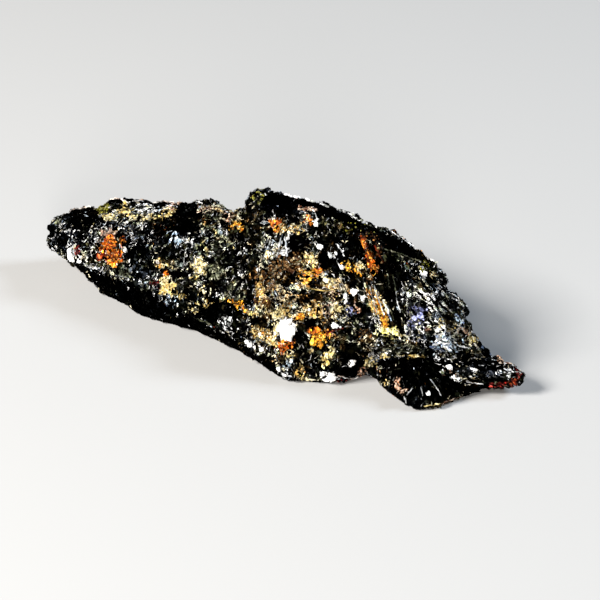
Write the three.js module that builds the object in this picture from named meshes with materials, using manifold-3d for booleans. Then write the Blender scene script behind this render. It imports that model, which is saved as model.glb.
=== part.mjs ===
// Specular hematite hand specimen: one natural piece of platy iron ore, in millimetres, +Z up.
// It is a low slab that lies on a flat cleaved underside. A thin nose points to -X, the middle is
// humped with a smooth cleavage plane on top, and at +X a flank of steep leaning layers stands over
// a ledge, a fanned foot and a short tail. Everything grew together, so it is one solid.
import * as THREE from "three";
import { mergeVertices } from "three/addons/utils/BufferGeometryUtils.js";
import { MeshSurfaceSampler } from "three/addons/math/MeshSurfaceSampler.js";
import Module from "manifold-3d";

const wasm = await Module();
wasm.setup();

// Driving dimensions
const noseX = -55.6;
const tailX = 53.4;
const stationCount = 44; // cross-sections along the length
const chipSize = 7.5; // width of one fracture facet
const chipDepth = 1.2; // how far a facet lies above or below the general form
const chipTilt = 0.32; // slope of a facet against the general form
const grainDepth = 0.4; // unevenness inside a facet
const grainShift = 0.75; // how far a corner strays along the surface
const tipFade = 14; // the breakage fades out over this length at the tips of nose and tail
const scaleCount = 46; // plates that lie on the surface
const scaleSize = { least: 2.6, most: 6.4 };
const shelfCount = 30; // plates sunk in the surface so that one edge stands out as a small ledge
const shelfSize = { least: 7, most: 13 };
const shelfReach = 1.1; // how far the edge of a shelf stands out
const plateThickness = { least: 0.5, most: 1.2 };
const plateFloor = 4; // these plates start this far above the base
const plateMargin = 10; // and keep this far from the tips of nose and tail
const plateOutline = { cornerShift: 0.34, reach: [0.8, 1.1] }; // how broken a plate's outline is
const scaleLay = { layering: 0.2, chance: 0.35, lift: [-0.25, 0.15] };
const shelfLay = { chance: 0.2, spin: 25, steepest: 0.75 };
const smoothTop = { above: 19, from: -12, facingUp: 0.8 }; // the cleavage plane has no plates
const steepFrom = 14; // the layering is steep from here to the tail
const ribCount = 9;
const ribSpacing = 1.75;
const ribWidth = [4.4, 6];
const ribThickness = [0.5, 1.4];
const leafWidth = [2, 2.8];
const leafThickness = [0.4, 0.9];
const weld = 1e-3; // corners closer than this are one corner

// The steep layers on the right lean this way; elsewhere the layering is nearly flat.
const steepLayerNormal = new THREE.Vector3(0.741, 0.596, 0.308);
const flatLayerNormal = new THREE.Vector3(-0.1, -0.25, 0.96).normalize();

// Edge lines of the form, each a run of [x, y, z] points from nose to tail. In order they go up the
// near side, over the top and down the far side. Roughness scales the fracture facets there, and
// steps is how many strips lie between this line and the next.
const edgeLines = [
  { name: "near edge of the base", roughness: 0, steps: 1, points: [
    [-55.2, 2.2, 4.2], [-47, 0, 2.6], [-39.5, -3.4, 0], [-33, -4.6, 0], [-28, -7.4, 0], [-14, -7.4, 0],
    [-6, -9.6, 0], [0, -11.2, 0], [9.5, -15.8, 0], [15, -13.9, 0], [21.5, -10.8, 0], [23.6, -4.8, 0],
    [27.5, -9, 0], [33, -12, 0], [38, -14, 0], [41.5, -10.5, 0], [43.5, -5.4, 0], [46, -1.6, 0.9],
    [53.4, 0.6, 2.2]] },
  { name: "brow and top of the foot", roughness: 0.3, steps: 1, points: [
    [-55.6, 1.6, 5], [-47, -2, 4], [-40, -4.8, 3.6], [-31.5, -6.6, 4.6], [-25.5, -8.6, 4.4],
    [-17, -9.8, 3.4], [-9, -9.6, 3.4], [0, -13.6, 3.2], [9.5, -16.8, 2.6], [15.5, -15.2, 2.4],
    [21.2, -12.4, 2.6], [24, -5.6, 3], [28, -8.4, 4], [33, -10.6, 3.6], [38, -12.2, 3], [42, -8.8, 3],
    [44, -4.2, 2.4], [49, -1.4, 2.4], [53.8, 0.4, 2.9]] },
  { name: "undercut", roughness: 0.3, steps: 1, points: [
    [-55.8, 1.2, 6.2], [-47, -2.4, 5.2], [-40, -5.2, 5.2], [-31.5, -7, 6.6], [-25.5, -8.8, 6.4],
    [-17, -10.2, 5], [-9, -10.8, 5], [0, -14, 4.8], [9.5, -16.4, 4.4], [15.5, -15, 4.4], [21.5, -12, 4.6],
    [25, -5, 5.2], [29, -2.6, 6.2], [33, -2, 6.4], [37, -2.4, 5.4], [42, -3.6, 3.8], [46, -2.6, 3],
    [54, 0.4, 3.4]] },
  { name: "lip of the ledge", roughness: 0.5, steps: 2, points: [
    [-55.8, 1.2, 7.2], [-47, -2.6, 6.8], [-40, -5.6, 6.8], [-31.5, -7.4, 8.4], [-25.5, -9.2, 8.2],
    [-17, -10.6, 6.6], [-9, -11.4, 7], [0, -13.8, 7], [9, -15.2, 7], [15.5, -13.8, 7], [21, -11, 7],
    [25.5, -8.2, 7.2], [29.5, -8.6, 8], [33, -7.8, 8.4], [36, -6, 8.4], [38, -5.2, 7], [42, -4.6, 4.8],
    [46, -3, 3.8], [54, 0.5, 3.9]] },
  { name: "belly of the near face", roughness: 1, steps: 3, points: [
    [-55.8, 1.4, 7.8], [-48, -1.6, 8.4], [-40, -3.8, 9.6], [-31.5, -5, 11.2], [-25.5, -6.6, 11.6],
    [-17, -8, 11.4], [-9, -9, 12.2], [0, -10.6, 12.8], [8, -11.2, 13], [15.5, -10, 12.6], [21, -8, 12],
    [26, -6.8, 11], [34, -5.6, 10.6], [37, -4.4, 10], [40, -3.6, 7.8], [44, -2.8, 5.8], [54, 0.7, 4.3]] },
  { name: "upper near face", roughness: 1, steps: 3, points: [
    [-55.8, 1.8, 9.4], [-49, 1, 11.2], [-40, 0.2, 13], [-31.5, -0.6, 14.6], [-25.5, -1.6, 15.6],
    [-17, -2.4, 17.2], [-9, -3, 19.4], [0, -3.8, 20.4], [8, -4, 20.6], [15.5, -3.2, 19.8], [21, -2.2, 18.6],
    [26, -1.8, 16.8], [30, -1, 15.4], [34, -0.4, 13], [37, -0.6, 11.2], [40, -0.8, 9], [44, -0.8, 6.6],
    [54, 1.2, 4.7]] },
  { name: "near edge of the top", roughness: 0.5, steps: 2, points: [
    [-55.6, 2.8, 10.8], [-50, 3.4, 12.6], [-44, 4, 15], [-41.6, 4.4, 16.6], [-38, 4.2, 15.6], [-32, 4.2, 17.4],
    [-28.6, 4, 17], [-26, 4, 19.4], [-19, 3.8, 20.6], [-12, 4, 21.4], [-10.6, 4.4, 23.4], [-8, 4.6, 24.4],
    [0, 4.6, 25], [8, 4.8, 24.8], [15, 5.2, 23.6], [21, 5.8, 22], [26, 6, 20.2], [29, 6.2, 19],
    [31, 6, 17.2], [34.8, 4.8, 14.8], [38, 3.6, 12.4], [40, 2.6, 10], [41, 2, 6.6], [43.4, 1.4, 4.4],
    [53.2, 1.8, 4.4]] },
  { name: "far edge of the top", roughness: 0.35, steps: 3, points: [
    [-55, 4.8, 10.6], [-49, 7.6, 12.2], [-45.4, 8.4, 13.8], [-43, 8.6, 15.6], [-40, 8.4, 14.8], [-34.4, 8.6, 16.6],
    [-29, 8.6, 17], [-26, 8.4, 19], [-19, 8.8, 19.8], [-12.8, 9.4, 20.2], [-11, 11, 21.8], [-8, 11.8, 22.6],
    [-2, 12, 22.8], [5, 12, 22.2], [10, 12, 21.6], [17, 12, 20.4], [23, 12, 19.4], [26.6, 11.2, 18.8],
    [29, 10.8, 18], [31.4, 9.8, 16.6], [34.6, 8.2, 14.4], [37.6, 6.4, 12.2], [39.8, 5, 10], [40.8, 4.2, 6.6],
    [42.8, 3.4, 3.8], [52.6, 2.8, 4]] },
  { name: "upper far face", roughness: 1, steps: 3, points: [
    [-54.2, 6, 8.8], [-46, 10.6, 10.4], [-38, 12, 12.6], [-28, 12.8, 14.4], [-18, 14.2, 16], [-12, 15.6, 17.4],
    [0, 16.2, 17.8], [12, 15.8, 16.8], [22, 15, 14.6], [30, 13, 12], [35.6, 10, 10], [40, 6.8, 6],
    [43.6, 4.8, 3.4], [52.4, 3.6, 3.4]] },
  { name: "lower far face", roughness: 0.8, steps: 2, points: [
    [-53.6, 6, 6.4], [-46, 11, 6.4], [-38, 12.2, 6.6], [-29, 16, 7], [-18, 16.2, 7.6], [-8, 19, 8.2],
    [5, 17.6, 8], [13, 18.6, 7.4], [24, 15, 6.6], [32, 13.6, 5.4], [38, 9.4, 4.4], [44, 6.2, 3.4],
    [52.2, 3.6, 3.2]] },
  { name: "far edge of the base", roughness: 0, steps: 5, points: [
    [-53.8, 5, 5.4], [-46, 8.4, 3.4], [-38, 9.6, 0], [-30, 13.8, 0], [-18, 14.2, 0], [-9, 17.4, 0],
    [6, 16, 0], [13, 17.2, 0], [24, 12.8, 0], [32, 11.8, 0], [38, 8, 0], [44, 5, 0.7], [52.6, 2.8, 2.3]] },
];

// Large cleavage plates, placed by hand. Size is length, width and thickness; normal is the way the
// flat side faces, and turn spins the outline about it, in degrees.
const cleavagePlates = [
  { name: "nose plate", at: [-48.6, 5.6, 12.4], size: [13, 6.4, 1.1], normal: [-0.24, 0.02, 0.97], turn: 8 },
  { name: "nose step", at: [-38, 6, 15.9], size: [16, 7.6, 1.2], normal: [-0.2, -0.12, 0.97], turn: 2 },
  { name: "nose back step", at: [-31, 7.4, 17], size: [12, 5, 1.2], normal: [-0.05, -0.1, 0.99], turn: 0 },
  { name: "left shoulder", at: [-20.5, 5.8, 19.5], size: [13, 8, 1.4], normal: [-0.08, -0.16, 0.98], turn: 3 },
  { name: "top step", at: [-7.4, 8, 23.9], size: [8, 8, 2.4], normal: [-0.06, 0.06, 1], turn: 12 },
  { name: "top step tuft", at: [-9.2, 10.4, 24.8], size: [3.6, 3, 1.4], normal: [-0.3, 0.2, 0.9], turn: 40 },
  { name: "top plate left", at: [-0.6, 8, 24.9], size: [18, 7, 1.6], normal: [0, 0.04, 1], turn: -2 },
  { name: "top plate middle", at: [8, 8.2, 24.5], size: [20, 7, 1.6], normal: [0.12, 0.08, 0.98], turn: 0 },
  { name: "top plate right", at: [18.4, 8.8, 22.1], size: [19, 6.6, 1.5], normal: [0.2, 0.08, 0.97], turn: 2 },
  { name: "top plate end", at: [26, 9, 19.8], size: [9, 5, 1.3], normal: [0.4, 0.1, 0.9], turn: 0 },
  { name: "flank plate", at: [35.6, 5.6, 13], size: [9, 5.4, 1.2], normal: [0.66, -0.2, 0.7], turn: 20 },
  { name: "ledge", at: [31.5, -5.4, 9.2], size: [15, 7.5, 2.4], normal: [0.12, 0.05, 1], turn: 6 },
  { name: "ledge end", at: [37, -2.8, 8.6], size: [6, 6, 2.4], normal: [0.3, -0.1, 0.95], turn: 20 },
  { name: "foot upper plate", at: [36.6, -6.4, 4], size: [12, 7, 1.2], normal: [0.15, -0.3, 0.94], turn: -28 },
  { name: "foot lower plate", at: [37, -9.4, 1.6], size: [12, 7, 1.3], normal: [0.06, -0.2, 0.98], turn: -24 },
  { name: "tail plate", at: [48, 1.6, 3.7], size: [9, 4.4, 1.1], normal: [0.06, -0.1, 0.98], turn: 2 },
  { name: "tail knob", at: [47, 2.6, 4.9], size: [2.4, 2, 1.8], normal: [0.5, 0.1, 0.9], turn: 30 },
  { name: "tail hook", at: [50.6, 2.2, 4.2], size: [4, 2.6, 1.1], normal: [0.3, 0, 0.95], turn: -10 },
];

// Broken pockets in the near face, as [x, z, width]. They open towards -Y and are shallow.
const pockets = [
  [-40.5, 11, 5], [-16, 9, 4.5], [-19, 18, 4.5], [-4, 20.5, 5], [6.5, 18.5, 6], [11, 6.4, 6], [1.5, 4.6, 6],
  [12.5, 3.6, 5],
];

// Clefts cut along the steep breaks: one behind the left lobe and one beside the ledge.
const clefts = [
  { name: "left valley", at: [-27.6, -1.2, 15.6], size: [15, 4.6, 1.9], normal: [0.94, -0.1, -0.3], turn: 64 },
  { name: "ledge slot", at: [39.4, -3.4, 8.6], size: [7, 4, 1.1], normal: [0.9, 0.3, 0.3], turn: 70 },
];

// Seeded random numbers, so that every build gives the same stone.
function randomFrom(seed) {
  let state = seed >>> 0;
  return () => {
    state = (state + 0x6d2b79f5) >>> 0;
    let bits = Math.imul(state ^ (state >>> 15), state | 1);
    bits ^= bits + Math.imul(bits ^ (bits >>> 7), bits | 61);
    return ((bits ^ (bits >>> 14)) >>> 0) / 4294967296;
  };
}

function between(random, least, most) {
  return least + (most - least) * random();
}

function randomDirection(random) {
  const height = between(random, -1, 1);
  const angle = between(random, 0, 2 * Math.PI);
  const radius = Math.sqrt(1 - height * height);
  return new THREE.Vector3(radius * Math.cos(angle), radius * Math.sin(angle), height);
}

// Where an edge line passes a cross-section: straight between its points, held at its ends.
function pointOnLine(points, x) {
  let next = points.findIndex((point) => point[0] > x);
  if (next === 0) next = 1;
  if (next < 0) next = points.length - 1;
  const [x0, y0, z0] = points[next - 1];
  const [x1, y1, z1] = points[next];
  const share = THREE.MathUtils.clamp((x - x0) / (x1 - x0), 0, 1);
  return new THREE.Vector3(x0 + (x1 - x0) * share, y0 + (y1 - y0) * share, z0 + (z1 - z0) * share);
}

// One closed cross-section, as points with the roughness that each one has.
function crossSection(x) {
  const ring = [];
  edgeLines.forEach((line, index) => {
    const after = edgeLines[(index + 1) % edgeLines.length];
    const start = pointOnLine(line.points, x);
    const end = pointOnLine(after.points, x);
    for (let step = 0; step < line.steps; step += 1) {
      const share = step / line.steps;
      const onBase = line.roughness === 0 && after.roughness === 0;
      const roughness = onBase ? 0 : THREE.MathUtils.lerp(line.roughness, after.roughness, share);
      ring.push({ point: start.clone().lerp(end, share), roughness });
    }
  });
  return ring;
}

// Fracture facets: space is shared out among scattered seeds, and each seed owns a tilted plane.
function fractureField(random) {
  const seeds = [];
  const reach = { x: [-58, 56], y: [-19, 21], z: [-2, 28] };
  const volume = (reach.x[1] - reach.x[0]) * (reach.y[1] - reach.y[0]) * (reach.z[1] - reach.z[0]);
  const count = Math.round(volume / chipSize ** 3);
  for (let index = 0; index < count; index += 1) {
    seeds.push({
      centre: new THREE.Vector3(
        between(random, ...reach.x), between(random, ...reach.y), between(random, ...reach.z)),
      slope: randomDirection(random).multiplyScalar(chipTilt),
      lift: between(random, -chipDepth, chipDepth),
    });
  }
  const offset = new THREE.Vector3();
  return (point) => {
    let nearest = seeds[0];
    let best = Infinity;
    for (const seed of seeds) {
      const distance = seed.centre.distanceToSquared(point);
      if (distance < best) {
        best = distance;
        nearest = seed;
      }
    }
    return nearest.lift + offset.subVectors(point, nearest.centre).dot(nearest.slope);
  };
}

// The main form: cross-sections skinned along the length, closed at nose and tail, then broken up.
function mainForm(random) {
  const rings = [];
  for (let index = 0; index < stationCount; index += 1) {
    rings.push(crossSection(THREE.MathUtils.lerp(noseX, tailX, index / (stationCount - 1))));
  }
  const around = rings[0].length;
  const positions = rings.flat().flatMap(({ point }) => point.toArray());
  const triangles = [];
  for (let row = 0; row + 1 < rings.length; row += 1) {
    for (let column = 0; column < around; column += 1) {
      const a = row * around + column;
      const b = row * around + ((column + 1) % around);
      triangles.push(a, a + around, b, b, a + around, b + around);
    }
  }
  [0, rings.length - 1].forEach((row) => {
    const middle = positions.length / 3;
    const centre = new THREE.Vector3();
    rings[row].forEach(({ point }) => centre.addScaledVector(point, 1 / around));
    positions.push(...centre.toArray());
    for (let column = 0; column < around; column += 1) {
      const a = row * around + column;
      const b = row * around + ((column + 1) % around);
      triangles.push(...(row === 0 ? [middle, a, b] : [middle, b, a]));
    }
  });
  const geometry = new THREE.BufferGeometry();
  geometry.setAttribute("position", new THREE.Float32BufferAttribute(positions, 3));
  geometry.setIndex(triangles);
  geometry.computeVertexNormals();

  const field = fractureField(random);
  const point = new THREE.Vector3();
  const normal = new THREE.Vector3();
  rings.flat().forEach(({ roughness }, index) => {
    if (roughness === 0) return;
    point.fromBufferAttribute(geometry.attributes.position, index);
    normal.fromBufferAttribute(geometry.attributes.normal, index);
    const tipDistance = Math.min(point.x - noseX, tailX - point.x);
    const fade = THREE.MathUtils.clamp(tipDistance / tipFade, 0.04, 1);
    const amount = fade * roughness * (field(point) + between(random, -grainDepth, grainDepth));
    const shift = fade * grainShift * Math.sqrt(roughness);
    point.addScaledVector(randomDirection(random).cross(normal), shift);
    point.addScaledVector(normal, amount);
    geometry.attributes.position.setXYZ(index, point.x, point.y, Math.max(point.z, 0));
  });
  return geometry;
}

// A thin plate with a broken outline of straight sides, like a sheet of mica. Its flat side faces
// along normal, and its middle is at the given point.
function plate(random, { at, size, normal, turn, sides = 7 }) {
  const [length, width, thickness] = size;
  const outline = new THREE.Shape();
  for (let side = 0; side < sides; side += 1) {
    const { cornerShift } = plateOutline;
    const angle = ((side + between(random, -cornerShift, cornerShift)) / sides) * 2 * Math.PI;
    const reach = between(random, ...plateOutline.reach);
    const x = (length / 2) * reach * Math.cos(angle);
    const y = (width / 2) * reach * Math.sin(angle);
    if (side === 0) outline.moveTo(x, y);
    else outline.lineTo(x, y);
  }
  const geometry = new THREE.ExtrudeGeometry(outline, { depth: thickness, bevelEnabled: false });
  geometry.translate(0, 0, -thickness / 2);
  geometry.rotateZ(THREE.MathUtils.degToRad(turn));
  const facing = new THREE.Vector3(...normal).normalize();
  const up = new THREE.Vector3(0, 0, 1);
  geometry.applyQuaternion(new THREE.Quaternion().setFromUnitVectors(up, facing));
  geometry.translate(...at);
  return geometry;
}

// A flat bar from one point to another. Its broad side faces along normal.
function bar(from, to, normal, width, thickness) {
  const along = new THREE.Vector3().subVectors(to, from);
  const geometry = new THREE.BoxGeometry(along.length(), width, thickness);
  const xAxis = along.clone().normalize();
  const zAxis = normal.clone().addScaledVector(xAxis, -normal.dot(xAxis)).normalize();
  const yAxis = new THREE.Vector3().crossVectors(zAxis, xAxis);
  const middle = from.clone().lerp(to, 0.5);
  return geometry.applyMatrix4(new THREE.Matrix4().makeBasis(xAxis, yAxis, zAxis).setPosition(middle));
}

// Steep layers on the right of the near face, seen on edge, from under the top down to the ledge.
function ribs(random) {
  const top = new THREE.Vector3(15.4, 2.2, 22.6);
  const bottom = new THREE.Vector3(27.4, -6.2, 9.4);
  const pieces = [];
  for (let index = 0; index < ribCount; index += 1) {
    const aside = new THREE.Vector3(index * ribSpacing, index * 0.16, index * -0.16);
    const from = top.clone().lerp(bottom, between(random, -0.05, 0.3)).add(aside);
    const to = top.clone().lerp(bottom, between(random, 0.8, 1.06)).add(aside);
    const normal = steepLayerNormal.clone().addScaledVector(randomDirection(random), 0.14);
    pieces.push(bar(from, to, normal, between(random, ...ribWidth), between(random, ...ribThickness)));
  }
  return pieces;
}

// Thin leaves that fan out over the foot, from its heart under the ledge to its rim.
function footFan(random) {
  const heart = new THREE.Vector3(30.5, -4.6, 5.4);
  const rim = [[27, -8.8], [30, -10.4], [33, -11.6], [36, -12.8], [39, -12], [41.6, -9.4], [43, -6]];
  const upright = new THREE.Vector3(0, 0, 1);
  return rim.map(([x, y]) => {
    const end = new THREE.Vector3(x, y, between(random, 2.8, 3.6));
    const normal = new THREE.Vector3().subVectors(end, heart).cross(upright);
    return bar(heart, end, normal, between(random, ...leafWidth), between(random, ...leafThickness));
  });
}

// Plates grown all over the surface: scales lie on it, and shelves follow the layering and show an
// edge. The smooth cleavage plane on top has none.
function surfacePlates(random, body) {
  const sampler = new MeshSurfaceSampler(new THREE.Mesh(body)).setRandomGenerator(random).build();
  const point = new THREE.Vector3();
  const normal = new THREE.Vector3();
  const pieces = [];
  while (pieces.length < scaleCount + shelfCount) {
    sampler.sample(point, normal);
    const onSmoothTop = point.z > smoothTop.above && normal.z > smoothTop.facingUp
      && point.x > smoothTop.from;
    const nearTip = point.x < noseX + plateMargin || point.x > tailX - plateMargin;
    if (point.z < plateFloor || onSmoothTop || nearTip) continue;
    const layering = point.x > steepFrom ? steepLayerNormal : flatLayerNormal;
    const isShelf = pieces.length < shelfCount;
    if (isShelf && Math.abs(normal.dot(layering)) > shelfLay.steepest) continue;
    const { least, most } = isShelf ? shelfSize : scaleSize;
    const length = between(random, least, most);
    const width = length * between(random, 0.5, 0.8);
    const outwards = isShelf ? shelfReach - width / 2 : between(random, ...scaleLay.lift);
    const facing = (isShelf ? layering.clone() : normal.clone().addScaledVector(layering, scaleLay.layering))
      .addScaledVector(randomDirection(random), isShelf ? shelfLay.chance : scaleLay.chance);
    pieces.push(plate(random, {
      at: point.clone().addScaledVector(normal, outwards).toArray(),
      size: [length, width, between(random, plateThickness.least, plateThickness.most)],
      normal: facing.toArray(),
      turn: isShelf ? between(random, -shelfLay.spin, shelfLay.spin) : between(random, 0, 180),
      sides: random() < 0.5 ? 5 : 6,
    }));
  }
  return pieces;
}

// Angular pockets in the near face, found by looking at it along +Y.
function pocketBlocks(random, body) {
  const target = new THREE.Mesh(body);
  target.updateMatrixWorld();
  const towards = new THREE.Vector3(0, 1, 0);
  return pockets.map(([x, z, width]) => {
    const ray = new THREE.Raycaster(new THREE.Vector3(x, -60, z), towards);
    const hit = ray.intersectObject(target)[0];
    const facing = hit.face.normal.clone().addScaledVector(randomDirection(random), 0.7);
    return plate(random, {
      at: hit.point.toArray(),
      size: [width, width * between(random, 0.6, 0.9), between(random, 2.2, 3.4)],
      normal: facing.toArray(),
      turn: between(random, 0, 180),
      sides: 5,
    });
  });
}

// Only positions are kept, so that corners shared by faces can be merged.
function bare(geometry) {
  geometry.deleteAttribute("normal");
  geometry.deleteAttribute("uv");
  return geometry;
}

function toSolid(geometry) {
  const merged = mergeVertices(bare(geometry.clone()), 1e-4);
  return new wasm.Manifold(new wasm.Mesh({
    numProp: 3,
    vertProperties: merged.attributes.position.array,
    triVerts: new Uint32Array(merged.index.array),
  }));
}

function toGeometry(solid) {
  const mesh = solid.getMesh();
  const geometry = new THREE.BufferGeometry();
  geometry.setAttribute("position", new THREE.BufferAttribute(mesh.vertProperties, 3));
  geometry.setIndex(new THREE.BufferAttribute(mesh.triVerts, 1));
  return geometry;
}

// Joining many plates can close in small hollows: only the largest skin of triangles that meet edge
// to edge is kept, with the corners it uses.
function outerSkin(geometry) {
  const merged = mergeVertices(geometry, weld);
  const corners = merged.index.array;
  const owner = Array.from({ length: corners.length / 3 }, (_, triangle) => triangle);
  const root = (triangle) => {
    let at = triangle;
    while (owner[at] !== at) {
      owner[at] = owner[owner[at]];
      at = owner[at];
    }
    return at;
  };
  const firstAtEdge = new Map();
  corners.forEach((corner, place) => {
    const triangle = Math.floor(place / 3);
    const next = corners[3 * triangle + ((place + 1) % 3)];
    const edge = `${Math.min(corner, next)} ${Math.max(corner, next)}`;
    if (firstAtEdge.has(edge)) owner[root(triangle)] = root(firstAtEdge.get(edge));
    else firstAtEdge.set(edge, triangle);
  });
  const counts = new Map();
  owner.forEach((_, triangle) => counts.set(root(triangle), (counts.get(root(triangle)) ?? 0) + 1));
  const largest = [...counts].reduce((best, entry) => (entry[1] > best[1] ? entry : best))[0];
  const kept = [...corners].filter((_, place) => root(Math.floor(place / 3)) === largest);
  merged.setIndex(kept);
  return mergeVertices(merged.toNonIndexed(), weld);
}

function specimen() {
  const random = randomFrom(20);
  const body = mainForm(random);
  const grown = [
    ...cleavagePlates.map((entry) => plate(random, entry)),
    ...ribs(random),
    ...footFan(random),
    ...surfacePlates(random, body),
  ];
  const ground = new THREE.BoxGeometry(200, 200, 20).translate(0, 0, -10);
  let solid = grown.reduce((sum, piece) => sum.add(toSolid(piece)), toSolid(body));
  const broken = [...pocketBlocks(random, body), ...clefts.map((entry) => plate(random, entry))];
  solid = broken.reduce((rest, block) => rest.subtract(toSolid(block)), solid);
  return outerSkin(toGeometry(solid.subtract(toSolid(ground))));
}

const stone = specimen();
stone.computeBoundingBox();
const middle = stone.boundingBox.getCenter(new THREE.Vector3());
stone.translate(-middle.x, -middle.y, -stone.boundingBox.min.z);

const hematite = new THREE.Mesh(stone, new THREE.MeshStandardMaterial({
  color: 0x24242a,
  roughness: 0.35,
  metalness: 0.9,
  flatShading: true,
}));
hematite.name = "specular_hematite";

const model = new THREE.Group();
model.add(hematite);
export default model;
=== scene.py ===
import itertools
import math

import bmesh
import bpy
import numpy as np
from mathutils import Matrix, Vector
from mathutils.bvhtree import BVHTree


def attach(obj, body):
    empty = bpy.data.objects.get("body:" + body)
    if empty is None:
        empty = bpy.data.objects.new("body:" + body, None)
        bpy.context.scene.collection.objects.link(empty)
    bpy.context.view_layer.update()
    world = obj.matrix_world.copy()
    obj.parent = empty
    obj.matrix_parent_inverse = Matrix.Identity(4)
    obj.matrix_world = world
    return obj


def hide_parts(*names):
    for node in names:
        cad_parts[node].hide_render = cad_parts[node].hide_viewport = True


# Specular hematite hand specimen: a lump of mirror-black iron ore, all plates and scales, with
# rust in its hollows and some white quartz. Metres, +Z up, nose to -X, near face to -Y.

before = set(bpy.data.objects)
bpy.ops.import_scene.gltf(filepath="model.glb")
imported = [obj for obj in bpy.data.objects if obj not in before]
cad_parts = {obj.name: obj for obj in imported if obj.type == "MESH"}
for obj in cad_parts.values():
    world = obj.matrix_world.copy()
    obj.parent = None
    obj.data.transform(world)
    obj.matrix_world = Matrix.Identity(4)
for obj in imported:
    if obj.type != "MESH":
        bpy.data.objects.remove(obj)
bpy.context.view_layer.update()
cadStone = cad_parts["specular_hematite"]
mm = 0.001
print("frame loaded")


camera = {
    "target": (0.004775, 0.0, 0.0075),
    "azimuth": 28.25,  # degrees round from looking along +Y
    "elevation": 29.5,
    "distance": 0.6,
    "lens": 179.5,
    "sensor": 36.0,
    "picture": 600,  # pixels along each side of the photograph
}

azimuth = math.radians(camera["azimuth"])
elevation = math.radians(camera["elevation"])
viewBack = np.array([
    math.sin(azimuth) * math.cos(elevation),
    -math.cos(azimuth) * math.cos(elevation),
    math.sin(elevation),
])
viewRight = np.array([math.cos(azimuth), math.sin(azimuth), 0.0])
viewUp = np.cross(viewBack, viewRight)
eye = np.array(camera["target"]) + viewBack * camera["distance"]
focalPixels = camera["lens"] / camera["sensor"] * camera["picture"]
pictureMiddle = camera["picture"] / 2
pixelSize = 0.2285 * mm  # how much of the ore one pixel shows


def makeCamera():
    data = bpy.data.cameras.new("photoCamera")
    data.lens = camera["lens"]
    data.sensor_width = camera["sensor"]
    data.clip_start = 0.01
    data.clip_end = 20.0
    obj = bpy.data.objects.new("photoCamera", data)
    obj.location = eye
    obj.rotation_mode = "QUATERNION"
    obj.rotation_quaternion = (-Vector(viewBack)).to_track_quat("-Z", "Y")
    bpy.context.scene.collection.objects.link(obj)
    bpy.context.scene.camera = obj


# where points fall in the photograph
def toPixels(points):
    rel = points - eye
    depth = -(rel @ viewBack)
    px = pictureMiddle + focalPixels * (rel @ viewRight) / depth
    py = pictureMiddle - focalPixels * (rel @ viewUp) / depth
    return px, py


def pixelRay(px, py):
    across = (px - pictureMiddle) / focalPixels
    upward = (pictureMiddle - py) / focalPixels
    return Vector(-viewBack + viewRight * across + viewUp * upward).normalized()


lights = {
    "key": {
        "toward": (-0.41, -0.55, 0.55),
        "distance": 0.9,
        "size": 0.32,
        "power": 23.0,
        "colour": (1.0, 0.97, 0.93),
    },
    "cool": {
        "toward": (0.61, 0.45, 0.58),
        "distance": 0.9,
        "size": 0.24,
        "power": 8.0,
        "colour": (0.78, 0.88, 1.0),
    },
    "low": {
        "toward": (0.45, -0.85, 0.3),
        "distance": 0.9,
        "size": 0.2,
        "power": 8.0,
        "colour": (1.0, 0.96, 0.92),
    },
}
sky = {"tone": (0.62, 0.62, 0.63), "strength": 0.1}
floorLook = {"side": 6.0, "tone": (0.33, 0.33, 0.327), "roughness": 0.7}


def makeLights():
    for name, look in lights.items():
        data = bpy.data.lights.new(name + "Light", "AREA")
        data.shape = "SQUARE"
        data.size = look["size"]
        data.energy = look["power"]
        data.color = look["colour"]
        obj = bpy.data.objects.new(name + "Light", data)
        toward = Vector(look["toward"]).normalized()
        obj.location = toward * look["distance"]
        obj.rotation_mode = "QUATERNION"
        obj.rotation_quaternion = toward.to_track_quat("Z", "Y")
        bpy.context.scene.collection.objects.link(obj)
    world = bpy.data.worlds.new("studio")
    bpy.context.scene.world = world
    world.use_nodes = True
    background = world.node_tree.nodes["Background"]
    background.inputs["Color"].default_value = (*sky["tone"], 1.0)
    background.inputs["Strength"].default_value = sky["strength"]


def makeFloor():
    half = floorLook["side"] / 2
    mesh = bpy.data.meshes.new("floor")
    corners = [(-half, -half, 0), (half, -half, 0), (half, half, 0), (-half, half, 0)]
    mesh.from_pydata(corners, [], [(0, 1, 2, 3)])
    floor = bpy.data.objects.new("floor", mesh)
    bpy.context.scene.collection.objects.link(floor)
    paint = bpy.data.materials.new("paleFloor")
    paint.use_nodes = True
    shader = paint.node_tree.nodes["Principled BSDF"]
    shader.inputs["Base Color"].default_value = (*floorLook["tone"], 1.0)
    shader.inputs["Roughness"].default_value = floorLook["roughness"]
    mesh.materials.append(paint)


makeCamera()
makeLights()
makeFloor()
bpy.context.scene.view_settings.view_transform = "Standard"
print("camera, lights and floor ready")


# a repeatable random number from 0 to 1 for each whole-number cell
def cellNumber(cells, seed):
    whole = cells.astype(np.int64)
    mixed = whole[:, 0] * 73856093 ^ whole[:, 1] * 19349663 ^ whole[:, 2] * 83492791 ^ seed * 40503
    mixed = (mixed ^ (mixed >> 13)) * 1274126177 & 0x7FFFFFFFFFFF
    mixed = (mixed ^ (mixed >> 15)) * 2246822519 & 0x7FFFFFFFFFFF
    return ((mixed ^ (mixed >> 16)) & 0xFFFFFF) / 0xFFFFFF


# smooth noise from 0 to 1, one lump to each stretch of the given size
def softNoise(points, size, seed):
    place = points / size
    cell = np.floor(place)
    part = place - cell
    part = part * part * (3 - 2 * part)
    total = np.zeros(len(points))
    for corner in itertools.product((0, 1), repeat=3):
        weight = np.prod(np.where(np.array(corner) > 0, part, 1 - part), axis=1)
        total += weight * cellNumber(cell + np.array(corner), seed)
    return total


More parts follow.
